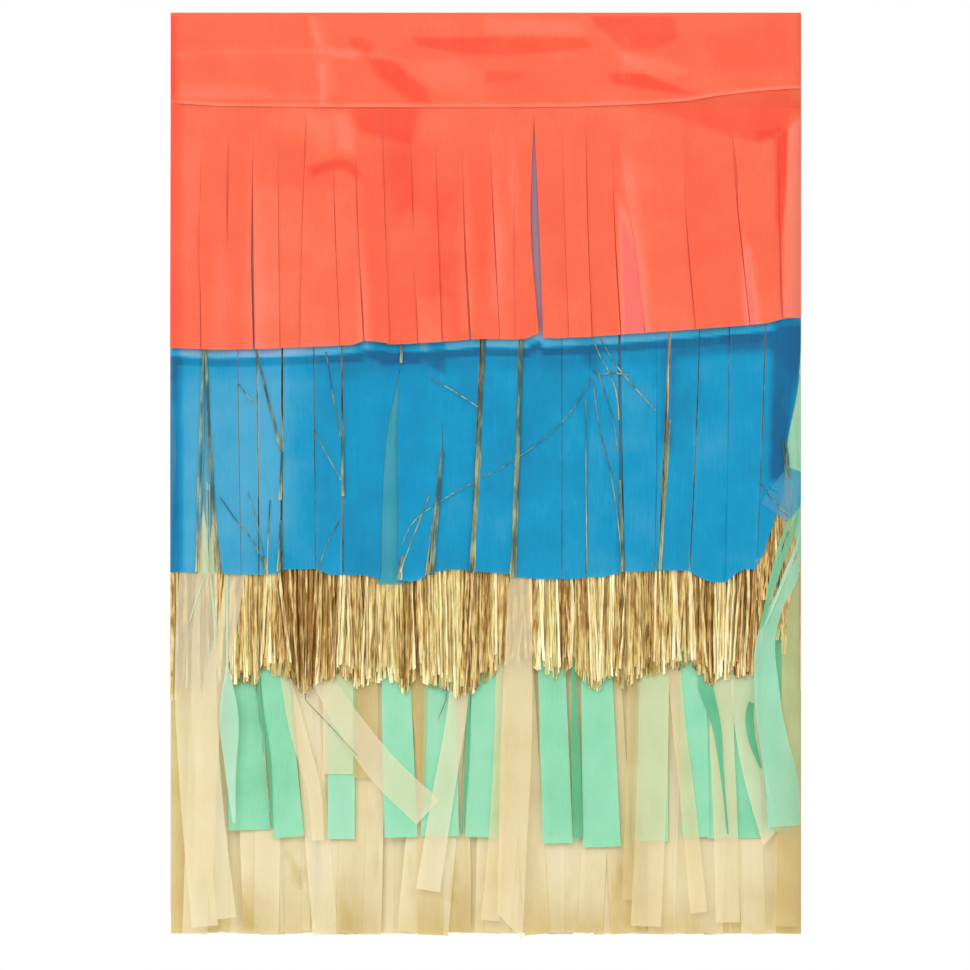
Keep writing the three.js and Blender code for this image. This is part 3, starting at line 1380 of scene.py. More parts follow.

# Painted light and shade on the coral sheet and the headings, with pink spots where the tissue is thinner.
CORAL_SHADES = (
    Shade(((160, 104), (180, 104), (182, 352), (160, 352)), -0.26, 6),
    Shade(((352, 108), (395, 106), (420, 108), (412, 145), (385, 138), (362, 132), (352, 122)), -0.34, 5),
    Shade(((385, 138), (412, 148), (418, 202), (398, 218), (385, 185)), -0.14, 8),
    Shade(((335, 113), (352, 116), (355, 152), (338, 152)), 0.22, 5),
    Shade(((308, 113), (332, 116), (332, 155), (308, 162)), 0.14, 7),
    Shade(((308, 168), (338, 158), (355, 162), (361, 176), (356, 178), (340, 168), (312, 176)), -0.34, 4),
    Shade(((255, 190), (305, 190), (305, 352), (255, 352)), 0.16, 9),
    Shade(((306, 185), (362, 185), (366, 352), (306, 352)), 0.13, 9),
    Shade(((418, 298), (448, 298), (448, 350), (418, 350)), 0.16, 5),
    Shade(((628, 104), (785, 84), (800, 105), (782, 132), (758, 142), (718, 132), (672, 115)), -0.26, 5),
    Shade(((758, 130), (782, 128), (775, 138), (758, 142)), -0.25, 2),
    Shade(((778, 138), (788, 128), (786, 192), (781, 238), (778, 218)), -0.5, 2),
    Shade(((788, 128), (800, 118), (804, 325), (783, 325), (784, 238)), 0.42),
    Shade(((622, 150), (632, 160), (652, 342), (622, 342)), 0.2, 4),
    Shade(((618, 195), (640, 262), (649, 340), (622, 340)), 0.44, 5),
    Shade(((742, 226), (753, 262), (760, 330), (747, 332)), 0.45, 2.5),
    Shade(((465, 160), (475, 250), (474, 332), (461, 332), (458, 250)), 0.24, 6),
    Shade(((496, 172), (505, 240), (500, 316), (490, 306), (488, 240)), 0.24, 6),
    Shade(((515, 145), (520, 190), (516, 230), (510, 190)), 0.22, 5),
    Shade(((361, 230), (371, 290), (370, 348), (359, 348), (357, 290)), 0.26, 6),
    Shade(((220, 215), (230, 290), (228, 354), (212, 354), (212, 290)), 0.14, 7),
    Shade(((252, 135), (262, 230), (263, 354), (246, 354), (245, 230)), 0.16, 7),
    Shade(((430, 180), (500, 180), (500, 300), (430, 300)), -0.08, 12),
)

# Lighter and darker patches on the blue sheet: a paler and then a darker band below the coral hem, painted
# light behind two coral slits, a painted reflection at the upper left, and painted shade at its sides and
# beside its slits.
BLUE_SHADES = (
    below(CORAL_HEM, -6, 8.5, 0.36, 1.0),
    below(CORAL_HEM, 8.5, 17, -0.34, 1.6),
    below(CORAL_HEM, 15, 30, -0.12, 8),
    Shade(((527, 112), (544, 112), (550, 338), (532, 338)), 0.5),
    Shade(((247, 118), (259, 118), (260, 344), (248, 344)), 0.5),
    Shade(((160, 330), (180, 330), (182, 580), (160, 580)), -0.42, 5),
    Shade(((184, 350), (290, 350), (290, 500), (250, 590), (184, 590)), 0.24, 30),
    Shade(((372, 340), (420, 340), (420, 362), (372, 360)), -0.34),
    Shade(((428, 340), (446, 340), (444, 374), (430, 366)), -0.34, 4),
    Shade(((664, 336), (676, 336), (672, 450), (660, 440)), -0.2, 5),
    Shade(((576, 340), (600, 340), (600, 376), (588, 366)), -0.24, 5),
    Shade(((676, 330), (800, 318), (800, 348), (676, 356)), -0.22, 5),
    Shade(((774, 318), (806, 318), (792, 400), (784, 480), (770, 480)), -0.4, 5),
    Shade(((356, 341), (366, 341), (366, 362), (356, 362)), -0.3, 2),
    Shade(((378, 354), (400, 352), (425, 354), (425, 364), (378, 366)), -0.25),
)

LEFT_END = Slit(0, (170, 170), (0, 0))
RIGHT_END = Slit(0, (802, 802), (0, 0))

CORAL_SLITS = (
    LEFT_END,
    Slit(148, (200, 200, 201), (0, 0.3, -1, 0.5, 1.0)),
    Slit(138, (228, 227, 230), (0, 2.4, 1.0, -1, -1.5, -1)),
    Slit(120, (253, 252, 254), (0, 0.6, 2.0, 3.0, 2.6, 2.0)),
    Slit(118, (277, 277, 278), (0, -2, -3)),
    Slit(117, (306, 302, 300), (0, 2.0, 0.3, 0.6, 0.2, 0.3, 0.2, 0.3, 0.3)),
    Slit(165, (333, 336, 340), (0, 1.0, 0.5, 0.3, 0.5)),
    Slit(155, (355, 359, 364), (0, 1.8, 0.6, 0.4, 1.6, 1.2)),
    Slit(114, (382, 385, 388), (0, 2.0, 0.4, 0.3, -1, -2, -2)),
    Slit(146, (411, 414, 418), (0, 1.8, 0.2, -1, 0.3, 0.6)),
    Slit(128, (435, 438, 442), (0, 0.3, 0.2, 0.6)),
    Slit(146, (462, 465, 470), (0, 0.6, 1.6, 1.8, 2.2)),
    Slit(120, (489, 494, 500), (0, 0.3, 1.2, 0.8, 0.4)),
    Slit(122, (516, 516, 517), (0, -2, -2)),
    Slit(115, (534, 535, 541), (0, 4.0, 7.5, 8.5, 6.5, 4.5)),
    Slit(118, (563, 565, 569), (0, 0.3, 0.3)),
    Slit(122, (586, 588, 592), (0, 1.2, 0.8, 0.4, 0.8)),
    Slit(130, (612, 615, 621), (0, 0.3, 0.8, 1.2, 0.8)),
    Slit(150, (620, 632, 645), (0, -3, 0.6)),
    Slit(180, (684, 689, 696), (0, 0.8, 0.2)),
    Slit(130, (732, 736, 738, 742, 746, 750), (0, 3.0, 1.2, 1.0, 0.5, 0.8)),
    Slit(122, (779, 780, 782), (0, 1.2, 1.6)),
    RIGHT_END,
)

CORAL_REAR_SLITS = (
    LEFT_END,
    Slit(160, (214, 214, 215), (0, 0.4, 0.4)),
    Slit(170, (253, 252, 254), (0, 1.4, 1.6)),
    Slit(150, (290, 290, 291), (0, 0.4, 0.4)),
    Slit(150, (318, 319, 320), (0, 0.4, 0.4)),
    Slit(200, (360, 363, 367), (0, 0.4, 2.0)),
    Slit(160, (400, 402, 404), (0, 0.4, 0.4)),
    Slit(180, (464, 467, 472), (0, 1.2, 3.0)),
    Slit(200, (497, 499, 504), (0, 1.0, 0.4)),
    Slit(118, (534, 535, 541), (0, 9.5, 6.0)),
    Slit(150, (577, 578, 580), (0, 0.4, 0.4)),
    Slit(170, (620, 624, 628), (0, 0.6, 0.6)),
    Slit(160, (668, 670, 672), (0, 0.4, 0.4)),
    Slit(230, (746, 749, 753), (0, 0.4, 0.4)),
    RIGHT_END,
)

CORAL_SHEER = tuple(
    Strip(spine, (width, width, width), (-0.13, -0.13), tone=tone)
    for spine, width, tone in (
        (((535, 116), (535, 226), (541, 334)), 34, 0.3),
        (((253, 124), (252, 236), (254, 344)), 14, 0.3),
        (((360, 205), (363, 275), (367, 338)), 14, 0.9),
        (((464, 185), (467, 262), (472, 334)), 14, 0.9),
        (((497, 205), (499, 270), (504, 334)), 14, 0.9),
    )
)

BLUE_SLITS = (
    LEFT_END,
    Slit(346, (204, 206, 208, 210), (0, 4, 12, 24)),
    Slit(210, (237, 238, 241), (0, 0.8, 0.4)),
    Slit(180, (255, 257, 259), (0, 1.4, 1.0)),
    Slit(200, (282, 282, 281), (0, 2.0, 2.4)),
    Slit(200, (314, 314, 316), (0, 0.8, 0.6)),
    Slit(210, (340, 342, 343), (0, 1.6, 1.0)),
    Slit(366, (400, 392, 390, 389), (0, 12, 17, 18)),
    Slit(420, (443, 441, 436, 430), (0, 1.4, 3.6, 8)),
    Slit(190, (485, 480, 472), (0, 3.0, 4)),
    Slit(190, (522, 519, 513), (0, 2.8, 4)),
    Slit(210, (562, 562, 562), (0, 0.5, 0.8)),
    Slit(200, (592, 589, 586), (0, -2, 0.8)),
    Slit(190, (619, 620, 623), (0, 3.0, 4.0)),
    Slit(230, (655, 655, 655), (0, -3, 0.6)),
    Slit(190, (674, 668, 659), (0, 2.6, 2.2)),
    Slit(210, (702, 698, 690), (0, 0.8, 0.8)),
    Slit(210, (731, 729, 727), (0, 0.6, -2)),
    Slit(200, (768, 764, 757), (0, 1.2, 0.4)),
    Slit(190, (802, 802, 802, 798, 788, 782, 764), (0, 0)),
)

BLUE_HEM = Hem((
    (170, 572), (196, 572), (222, 574), (264, 575), (279, 573), (283, 569), (318, 569), (324, 575),
    (381, 575), (398, 583), (425, 581), (434, 569), (466, 569), (476, 572), (510, 573), (517, 579),
    (580, 579), (586, 577), (610, 577), (624, 572), (655, 571), (670, 570), (691, 571), (693, 576),
    (704, 582), (729, 582), (732, 570), (757, 569), (760, 560), (765, 545),
))

GOLD_HEM = Hem((
    (170, 700), (182, 690), (240, 684), (258, 690), (264, 672), (284, 682), (300, 696), (310, 698),
    (326, 686), (342, 680), (350, 688), (363, 690), (377, 683), (392, 684), (406, 697), (416, 683),
    (430, 689), (444, 693), (460, 701), (474, 697), (486, 682), (500, 671), (516, 662), (536, 672),
    (550, 678), (560, 684), (572, 668), (586, 690), (598, 693), (610, 679), (624, 692), (640, 678),
    (668, 677), (690, 667), (706, 687), (722, 680), (746, 681), (756, 676), (764, 630), (778, 590),
    (786, 540), (802, 480),
))


# Brighter and darker bands of foil, painted reflections: left and right column and change of tone.
GOLD_REFLECTION_ZONES = (
    (225, 276, 0.05), (278, 336, -0.36), (380, 398, 0.35), (400, 416, -0.18), (440, 464, 0.32),
    (465, 491, -0.14), (536, 560, 0.3), (561, 585, -0.12), (587, 614, 0.38), (616, 636, -0.08),
    (695, 709, -0.26), (712, 734, 0.3), (737, 770, -0.32),
)

GOLD_REFLECTIONS = tuple(
    Shade(((left, 540), (right, 540), (right, 720), (left, 720)), change, 4)
    for left, right, change in GOLD_REFLECTION_ZONES
)

GOLD_CLUMPS = (
    (204, 30, 0.2), (256, 22, 0.3), (303, 36, 0.5), (362, 24, 0.3), (402, 18, 0.3), (452, 34, 0.22),
    (556, 22, 0.25), (600, 26, 0.25), (654, 30, 0.2), (722, 34, 0.22),
)


def mint(top: float, foot: float, tip: float, width: float, tone: float, forward: float) -> Strip:
    """A mint strip that hangs straight behind the foil and slants below it.

    Args:
        top: Pixel column of its middle under the foil's tips.
        foot: Pixel column of its middle at its cut end.
        tip: Pixel row of its cut end.
        width: Width in pixels.
        tone: From dark to pale.
        forward: How far it hangs before its layer, in millimetres.

    Returns:
        The strip.
    """
    spine = ((top, 108), (top, 420), (top, 640), ((top + foot) / 2, 745), (foot, tip))
    return Strip(spine, (25.0, 25.0, width), (forward, forward), tone=tone)


MINT_STRIPS = (
    mint(243, 249, 830, 42, 0.4, -0.1),
    mint(272, 289, 837, 30, 0.42, 0.25),
    mint(342, 341, 839, 27, 0.6, 0.1),
    mint(395, 401, 837, 33, 0.5, 0.25),
    mint(440, 440, 836, 38, 0.55, 0.0),
    mint(488, 482, 837, 34, 0.5, 0.2),
    mint(551, 558, 843, 30, 0.42, 0.25),
    mint(596, 602, 847, 38, 0.46, 0.1),
    mint(654, 650, 841, 36, 0.6, 0.2),
    mint(693, 696, 837, 28, 0.48, 0.25),
    mint(718, 722, 838, 28, 0.6, 0.0),
    mint(744, 748, 838, 30, 0.4, -0.2),
    mint(774, 778, 832, 26, 0.4, -0.1),
    mint(794, 794, 780, 14, 0.5, -0.3),
)

MINT_OVER_GOLD = (
    Strip(((800, 556), (787, 586), (775, 610), (766, 640), (767, 690), (773, 740), (781, 786), (784, 826)),
          (10, 11, 17, 23, 26, 27, 30, 32), (0.45, 0.8, 0.8), tone=0.66, root=-36),
    Strip(((801, 372), (796, 420), (794, 460), (798, 496)), (2, 15, 18, 10), (0.45, 0.5), tone=0.7, root=-30),
    Strip(((800, 500), (789, 538), (772, 588), (760, 630)), (3, 5, 6, 2), (0.5, 0.8), tone=0.25, root=-40),
    Strip(((801, 520), (793, 550), (778, 594), (765, 626)), (2, 3, 3, 1), (0.55, 0.9), tone=0.9, root=-44),
    Strip(((796, 500), (780, 548), (768, 590)), (2, 4, 2), (0.5, 0.7), tone=0.3, root=-40),
    Strip(((227, 664), (229, 720), (231, 780), (234, 822)), (2, 19, 11, 3), (0.75, 0.8), tone=0.9),
    Strip(((207, 568), (198, 594), (189, 622)), (1, 1.6, 0.8), (0.6, 0.8), tone=1.0),
    Strip(((209, 570), (213, 604), (215, 650)), (1, 2.2, 0.8), (0.6, 0.8), tone=1.0),
)

BLUE_BEHIND = (
    Strip(((402, 366), (394, 430), (390, 500), (390, 584)), (3, 22, 28, 26), (-0.3, -0.3), tone=0.5),
    Strip(((204, 346), (206, 420), (208, 480), (209, 545)), (4, 12, 16, 1), (-0.3, -0.3), tone=0.7),
    Strip(((620, 340), (621, 450), (623, 560)), (6, 8, 8), (-0.3, -0.3), tone=0.3),
    Strip(((802, 470), (788, 492), (774, 512)), (30, 34, 30), (0.1, 0.1), tone=0.75, root=None),
)

GREEN_BEHIND = (
    Strip(((401, 372), (396, 430), (392, 500), (391, 584)), (24, 24), (0.4, 0.4), tone=0.45),
    Strip(((206, 430), (207, 500), (208, 574)), (9, 9, 12), (0.4, 0.4), tone=0.85),
)

IVORY_OVER_GOLD = (
    Strip(((196, 470), (190, 560), (188, 700), (196, 830), (205, 926)), (8, 24, 26, 26),
          (0.42, 0.5, 0.8), tone=0.6, root=-14),
    Strip(((209, 480), (207, 560), (204, 700), (212, 820), (224, 918)), (8, 24, 25, 25),
          (0.45, 0.55, 0.7), tone=0.7, root=24),
    Strip(((238, 556), (229, 615), (213, 690), (206, 780), (203, 880)), (18, 22, 20),
          (0.42, 0.5, 0.7), tone=0.6),
    Strip(((520, 566), (519, 600), (518, 680), (515, 780), (510, 926)), (18, 27, 31, 28, 26),
          (0.42, 0.6, 0.9), foot_cut=-1.0, tone=0.45, root=24),
    Strip(((794, 560), (792, 640), (792, 760), (790, 860), (787, 926)), (16, 20, 27, 28),
          (0.42, 0.45, 0.6), tone=0.15, root=-48),
)

IVORY_OVER_MINT = (
    Strip(((284, 672), (300, 740), (314, 790), (318, 840)), (10, 16, 14, 12), (0.4, 0.6), tone=0.6),
    Strip(((312, 662), (348, 722), (388, 774), (428, 812)), (18, 26, 32, 34), (0.4, 0.6), tone=0.75),
    Strip(((338, 640), (338, 700), (338, 774)), (30, 30, 30), (0.4, 0.45), tone=0.6),
    Strip(((366, 640), (366, 710), (366, 778)), (22, 24), (0.4, 0.5), tone=0.1),
    Strip(((419, 640), (419, 700), (421, 760), (422, 806)), (14, 15, 9, 4), (0.4, 0.5), tone=0.0),
    Strip(((464, 640), (456, 720), (444, 790), (428, 890)), (18, 24), (0.4, 0.6), tone=0.8),
    Strip(((500, 650), (500, 740), (496, 840), (490, 920)), (8, 18), (0.4, 0.6), tone=0.45),
    Strip(((634, 640), (634, 720), (633, 800), (630, 900)), (12, 16), (0.4, 0.5), tone=0.2),
    Strip(((655, 640), (654, 720), (650, 840), (646, 926)), (30, 30), (0.4, 0.55), tone=0.45),
    Strip(((672, 620), (677, 700), (688, 800), (699, 912)), (11, 17), (0.4, 0.65), tone=0.4),
    Strip(((722, 640), (722, 720), (726, 830), (728, 922)), (24, 24), (0.4, 0.5), tone=0.5),
    Strip(((742, 640), (744, 700), (754, 770), (772, 836)), (24, 22), (0.4, 0.6), foot_cut=0.6, tone=0.7),
)

# Narrow dark mint strips: painted shadow lines in the folds and gaps of the mint sheet.
MINT_FOLD_SHADOWS = (
    Strip(((469, 688), (467, 760), (462, 834)), (3, 4, 2), (0.42, 0.5), tone=0.0),
    Strip(((574, 690), (576, 760), (578, 838)), (5, 9, 9), (0.42, 0.5), tone=0.0),
    Strip(((706, 688), (716, 722), (722, 770), (728, 834)), (15, 8, 3, 2), (0.42, 0.5), tone=0.1),
    Strip(((756, 688), (750, 712), (752, 738), (761, 768)), (2, 8, 7, 2), (0.42, 0.66), tone=0.05),
    Strip(((757, 757), (768, 792), (770, 826)), (3, 4, 2), (0.42, 0.68), tone=0.1),
    Strip(((259, 694), (268, 750), (272, 828)), (2, 3, 2), (0.42, 0.5), tone=0.0),
)

# Painted shade in the folds and between the overlapping ivory strips.
IVORY_SHADES = (
    Shade(((325, 782), (329, 788), (325, 810), (316, 828), (314, 824), (318, 804)), -0.26, 3),
    Shade(((282, 845), (301, 870), (301, 888), (297, 888), (291, 872)), -0.2, 3),
    Shade(((310, 856), (307, 876), (299, 890), (297, 886), (300, 872)), -0.2, 3),
    Shade(((233, 886), (251, 910), (256, 930), (233, 930)), -0.17, 4),
    Shade(((455, 856), (456, 880), (450, 902), (447, 898), (449, 878)), -0.26, 3),
    Shade(((368, 796), (376, 840), (380, 880), (377, 880), (372, 840)), -0.19, 3),
    Shade(((409, 846), (413, 872), (413, 896), (411, 896), (408, 872)), -0.19, 3),
    Shade(((342, 896), (350, 912), (352, 930), (342, 930)), -0.15, 4),
    Shade(((572, 848), (573, 880), (569, 902), (567, 898), (569, 878)), -0.19, 3),
    Shade(((623, 848), (623, 880), (614, 907), (610, 902), (617, 878)), -0.19, 3),
    Shade(((494, 848), (496, 875), (491, 902), (489, 898), (490, 874)), -0.19, 3),
)

SLIT_STRANDS = (
    *bundle((203, 346), (197, 572), (0.8, 3.0), 2),
    *bundle((205, 346), (217, 573), (0.8, 3.0), 2),
    *bundle((208, 490), (209, 573), (1.0, 3.0), 1),
    *bundle((255, 346), (281, 452), (1.0, 1.6), 2),
    *bundle((282, 452), (280, 500), (1.0, 1.6), 2),
    *bundle((281, 520), (280, 571), (1.4, 5.0), 4),
    *bundle((342, 436), (343, 496), (0.8, 1.4), 2),
    *bundle((402, 342), (401, 363), (2.0, 1.4), 2),
    *bundle((442, 450), (430, 575), (0.8, 7.0), 5),
    *bundle((485, 336), (472, 573), (2.0, 4.4), 4),
    *bundle((522, 334), (513, 577), (1.6, 4.4), 4),
    *bundle((620, 480), (623, 572), (1.0, 3.4), 3),
    *bundle((670, 420), (660, 570), (1.0, 2.0), 2),
    *bundle((784, 440), (787, 478), (2.0, 3.0), 2),
    *bundle((402, 556), (399, 580), (3.0, 4.0), 3),
    *bundle((264, 556), (266, 574), (2.0, 3.0), 2),
)

EDGE_STRANDS = (
    *bundle((172, 574), (171, 700), (3.0, 3.0), 4),
    *bundle((784, 590), (784, 654), (5.0, 3.0), 3),
    *bundle((801, 560), (800, 690), (2.0, 2.0), 3),
    *bundle((790, 560), (778, 640), (6.0, 9.0), 5),
    *bundle((766, 540), (762, 600), (6.0, 10.0), 6),
)

STRAY_STRANDS = (
    ((430, 378), (455, 392), (478, 407)),
    ((314, 430), (327, 455), (341, 480)),
    ((592, 376), (578, 402), (560, 424), (540, 442), (520, 456), (498, 470), (478, 480), (452, 494),
     (430, 508), (410, 526), (402, 545)),
    ((592, 371), (600, 374), (612, 373), (628, 375)),
    ((592, 336), (600, 356), (610, 374), (617, 396), (619, 420)),
    ((600, 338), (614, 362), (630, 382), (646, 400), (656, 411)),
    ((593, 380), (600, 430), (608, 462), (614, 492), (619, 530), (622, 566)),
    ((598, 372), (606, 396), (614, 424), (618, 452)),
    ((326, 352), (332, 390), (341, 440)),
    ((220, 497), (236, 520), (252, 540), (266, 570)),
    ((248, 492), (256, 520), (262, 546), (267, 576)),
    ((270, 500), (268, 540), (267, 576)),
    ((238, 384), (246, 394), (254, 404)),
    ((760, 482), (768, 494), (778, 505), (788, 516)),
    ((586, 400), (586, 470), (587, 570)),
    ((430, 494), (412, 540), (400, 572)),
    ((340, 520), (326, 546), (318, 572)),
)

LOW_STRAYS = (
    ((256, 690), (262, 740), (270, 812)),
    ((305, 700), (330, 726), (357, 755)),
    ((446, 700), (437, 722)),
)


@dataclass
class FrontPanel:
    """The front panel, whose five sheets are seen and can be lifted one by one.

    tip_shine is how much paler the foil's tips are. Stray strands lie further forward one after
    another by stray_step millimetres, over stray_depths steps, and their leads come from
    stray_root_px nearer the panel's middle. The rear sheet has ivory_strips strips, whose heads
    and cut ends stay ivory_inset_px inside the panel's sides. least_cover is not used.
    """

    panel: Panel
    finishes: Finishes
    strips: HangingStrips
    tip_shine: float = 0.24
    stray_step: float = 0.012
    stray_depths: int = 5
    stray_root_px: float = 24.0
    ivory_strips: int = 50
    ivory_inset_px: float = 13.0
    least_cover: float = 0.3

    def hand_over(self, piece: bpy.types.Object, finish: Finish, rider: Tint, stands_for: str = "") -> None:
        """Dresses a piece and hands it to its body.

        Args:
            piece: The piece.
            finish: Its finish.
            rider: The sheet on whose body it rides.
            stands_for: The CAD node that it stands for, if any.
        """
        finish.dress(piece)
        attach(piece, f"front_{rider.value}_fringe")
        if stands_for:
            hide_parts(stands_for)

    def slit_sheet(self, name: str, sheet: SlitSheet, finish: Finish, stands_for: str = "") -> None:
        """One ply that is cut into strips.

        Args:
            name: Name of the piece.
            sheet: How it is cut and how it hangs.
            finish: Its finish.
            stands_for: The CAD node that it stands for, if any.
        """
        cloth = Cloth(name)
        sheet.hang_in(cloth, self.panel)
        piece = cloth.make(self.panel)
        self.hand_over(piece, finish, sheet.layer, stands_for)

    def loose(self, name: str, strips: tuple, finish: Finish, layer: Tint, stands_for: str = "",
              shades: tuple = ()) -> None:
        """Loose strips of one colour that hang in one layer.

        Args:
            name: Name of the piece.
            strips: How each one lies.
            finish: Their finish.
            layer: The layer, whose body they ride on.
            stands_for: The CAD node that they stand for, if any.
            shades: Lighter and darker patches on them.
        """
        cloth = Cloth(name)
        for strip in strips:
            strip.hang_in(cloth, self.panel.layers[layer], rows=220 if shades else 40, shades=shades)
        piece = cloth.make(self.panel)
        widths, lengths = zip(*(strip.size for strip in strips))
        self.hand_over(piece, finish, layer, stands_for)

    def tissue(self) -> None:
        """The coral and blue sheets, and the plies that show behind them."""
        tissue, seen = self.finishes.tissue, self.finishes.one_ply
        self.slit_sheet("coral_strips_1", SlitSheet(
            Tint.CORAL, CORAL_SLITS, CORAL_HEM, (0.05, 0.6), (0.34, 0.52), CORAL_SHADES, rows=120, seed=11,
        ), tissue[Tint.CORAL], "coral_fringe_1")
        self.slit_sheet("coral_rear_ply_1", SlitSheet(
            Tint.CORAL, CORAL_REAR_SLITS, CORAL_HEM, (-0.1, -0.02), (0.3, 0.45), shift=-1.5, seed=12,
        ), seen[Tint.CORAL])
        self.loose("coral_sheer_1", CORAL_SHEER, self.finishes.sheer_coral, Tint.CORAL)
        self.slit_sheet("blue_strips_1", SlitSheet(
            Tint.BLUE, BLUE_SLITS, BLUE_HEM, (-0.1, 0.32), (0.36, 0.52), BLUE_SHADES, rows=200, seed=23,
        ), tissue[Tint.BLUE], "blue_fringe_1")
        self.loose("blue_behind_1", BLUE_BEHIND, seen[Tint.BLUE], Tint.BLUE)

    def gold(self) -> None:
        """Foil strands that bunch at their ragged tips."""
        seam_px, tips_px = 108, 690
        drop = float(PHOTO.height(seam_px) - PHOTO.height(tips_px))
        mesh = self.strips.row("gold_strands_1", {
            "Count": 1400, "Pitch": 0.22 * MM, "Width": 1.25 * MM, "Heading": 0.0, "Drop": drop,
            "Ragged": 11 * MM, "Slant": 0.05, "Sway": 5 * MM, "Kink": 1.8 * MM, "Clump": 0.3,
            "Clump Pitch": 11 * MM, "Twist": 1.0, "Ply Gap": 0.3 * MM, "Spread": 0.34 * MM,
            "Depth Limit": 0.36 * MM, "Rows": 34, "Columns": 2, "Seed": 5, "Tone Low": 0.0,
            "Tone High": 1.0, "Material": self.finishes.tissue[Tint.GOLD].material,
        })

        def to_hem(points: np.ndarray) -> None:
            """Brings the strands to the hem, paints reflections on them and gathers their tips in clumps.

            Args:
                points: Points of the row, changed in place.
            """
            column = PHOTO.middle_px + points[:, 0] / PHOTO.pixel
            down = np.clip(-points[:, 2] / drop, 0, 1)
            reach = self.panel.hang.seam - PHOTO.height(GOLD_HEM.row(column))
            points[:, 2] *= 1 + (reach / drop - 1) * down ** 2
            tone = mesh.attributes["tone"].data
            tones = np.empty(len(tone), np.float32)
            tone.foreach_get("value", tones)
            # Painted reflections: brighter and darker bands across the foil.
            tones += shaded(column, PHOTO.row(self.panel.hang.seam + points[:, 2]), GOLD_REFLECTIONS)
            # Paler foil over the last tenth towards the tips: a painted highlight.
            last_tenth = ease(down * 10 - 9)
            tones += self.tip_shine * last_tenth
            tone.foreach_set("value", tones)
            near_tips = down ** 6
            for middle, half, share in GOLD_CLUMPS:
                apart = column - middle
                near = ease(1.6 - 1.6 * np.abs(apart) / half)
                points[:, 0] -= apart * PHOTO.pixel * share * near * near_tips

        piece = place_row(mesh, self.panel, Tint.GOLD, to_hem)
        self.hand_over(piece, self.finishes.tissue[Tint.GOLD], Tint.GOLD, "gold_fringe_1")

    def strays(self, name: str, groups: tuple, layer: Tint, finish: Finish) -> None:
        """Single foil strands, each a little further forward than the last.

        Args:
            name: Name of the piece.
            groups: For each group its spines, how far forward it lies at stations from head to
                foot, and its width in pixels.
            layer: The layer, whose body they ride on.
            finish: Their finish.
        """
        cloth = Cloth(name)
        rng = np.random.default_rng(8)
        for spines, forward, width in groups:
            for number, spine in enumerate(spines):
                inward = math.copysign(self.stray_root_px, PHOTO.middle_px - spine[0][0])
                own = tuple(place + self.stray_step * (number % self.stray_depths) for place in forward)
                strand = Strip(spine, (width * rng.uniform(0.7, 1.1),) * 2, own,
                               tone=rng.uniform(0.0, 0.4), fades=(-0.3, 0.0, 0.2),
                               root=None if layer is Tint.BLUE else inward)
                strand.hang_in(cloth, self.panel.layers[layer], rows=26, columns=2)
        piece = cloth.make(self.panel)
        self.hand_over(piece, finish, layer)

    def ivory(self) -> None:
        """Rear ivory sheet of the front panel: many long strips that cross one another."""
        rng = np.random.default_rng(31)
        strips = []
        count = self.ivory_strips
        first, last = PHOTO.left_px + self.ivory_inset_px, PHOTO.right_px - self.ivory_inset_px
        for number in range(count):
            at_side = number in (0, count - 1)
            head = first + (last - first) * number / (count - 1)
            slant = rng.uniform(-34, 34) * (not at_side)
            foot = float(np.clip(head + slant, first, last))
            mid = (head * 0.6 + foot * 0.4) + rng.uniform(-4, 4)
            forward = -0.3 + 0.6 * (number * 21 % count) / (count - 1)
            # The outermost strips are darker: painted shade along the panel's sides.
            tone = 0.1 if at_side else rng.uniform(0.3, 0.58)
            strips.append(Strip(
                ((head, 108), (head, 360), (mid, 660), (foot, rng.uniform(931, 935))), (25, 25),
                (forward, forward), foot_cut=rng.uniform(-0.06, 0.06), tone=tone,
                fades=(0.0,) * 12 + (-0.25,),
            ))
        self.loose("ivory_strips_1", tuple(strips), self.finishes.tissue[Tint.IVORY], Tint.IVORY,
                   "ivory_fringe_1", IVORY_SHADES)

    def headings(self) -> None:
        """Uncut headings above the seam; the coral one shows where the band's cut edge rises."""
        seam = self.panel.hang.seam
        columns = np.linspace(PHOTO.left_px, PHOTO.right_px, 120)
        for tint in Tint:
            node = f"{tint.value}_heading_1"
            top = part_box(node)[1].z
            grid_columns, heights = np.meshgrid(columns, np.linspace(top, seam, 24))
            y = np.full_like(heights, self.panel.layers[tint])
            cloth = Cloth(f"{tint.value}_heading_sheet_1")
            cloth.add(np.stack([PHOTO.across(grid_columns), y, heights], axis=-1),
                      0.5 + shaded(grid_columns, PHOTO.row(heights), CORAL_SHADES))
            piece = cloth.make(self.panel)
            self.finishes.tissue[tint].dress(piece)
            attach(piece, self.panel.body)
            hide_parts(node)

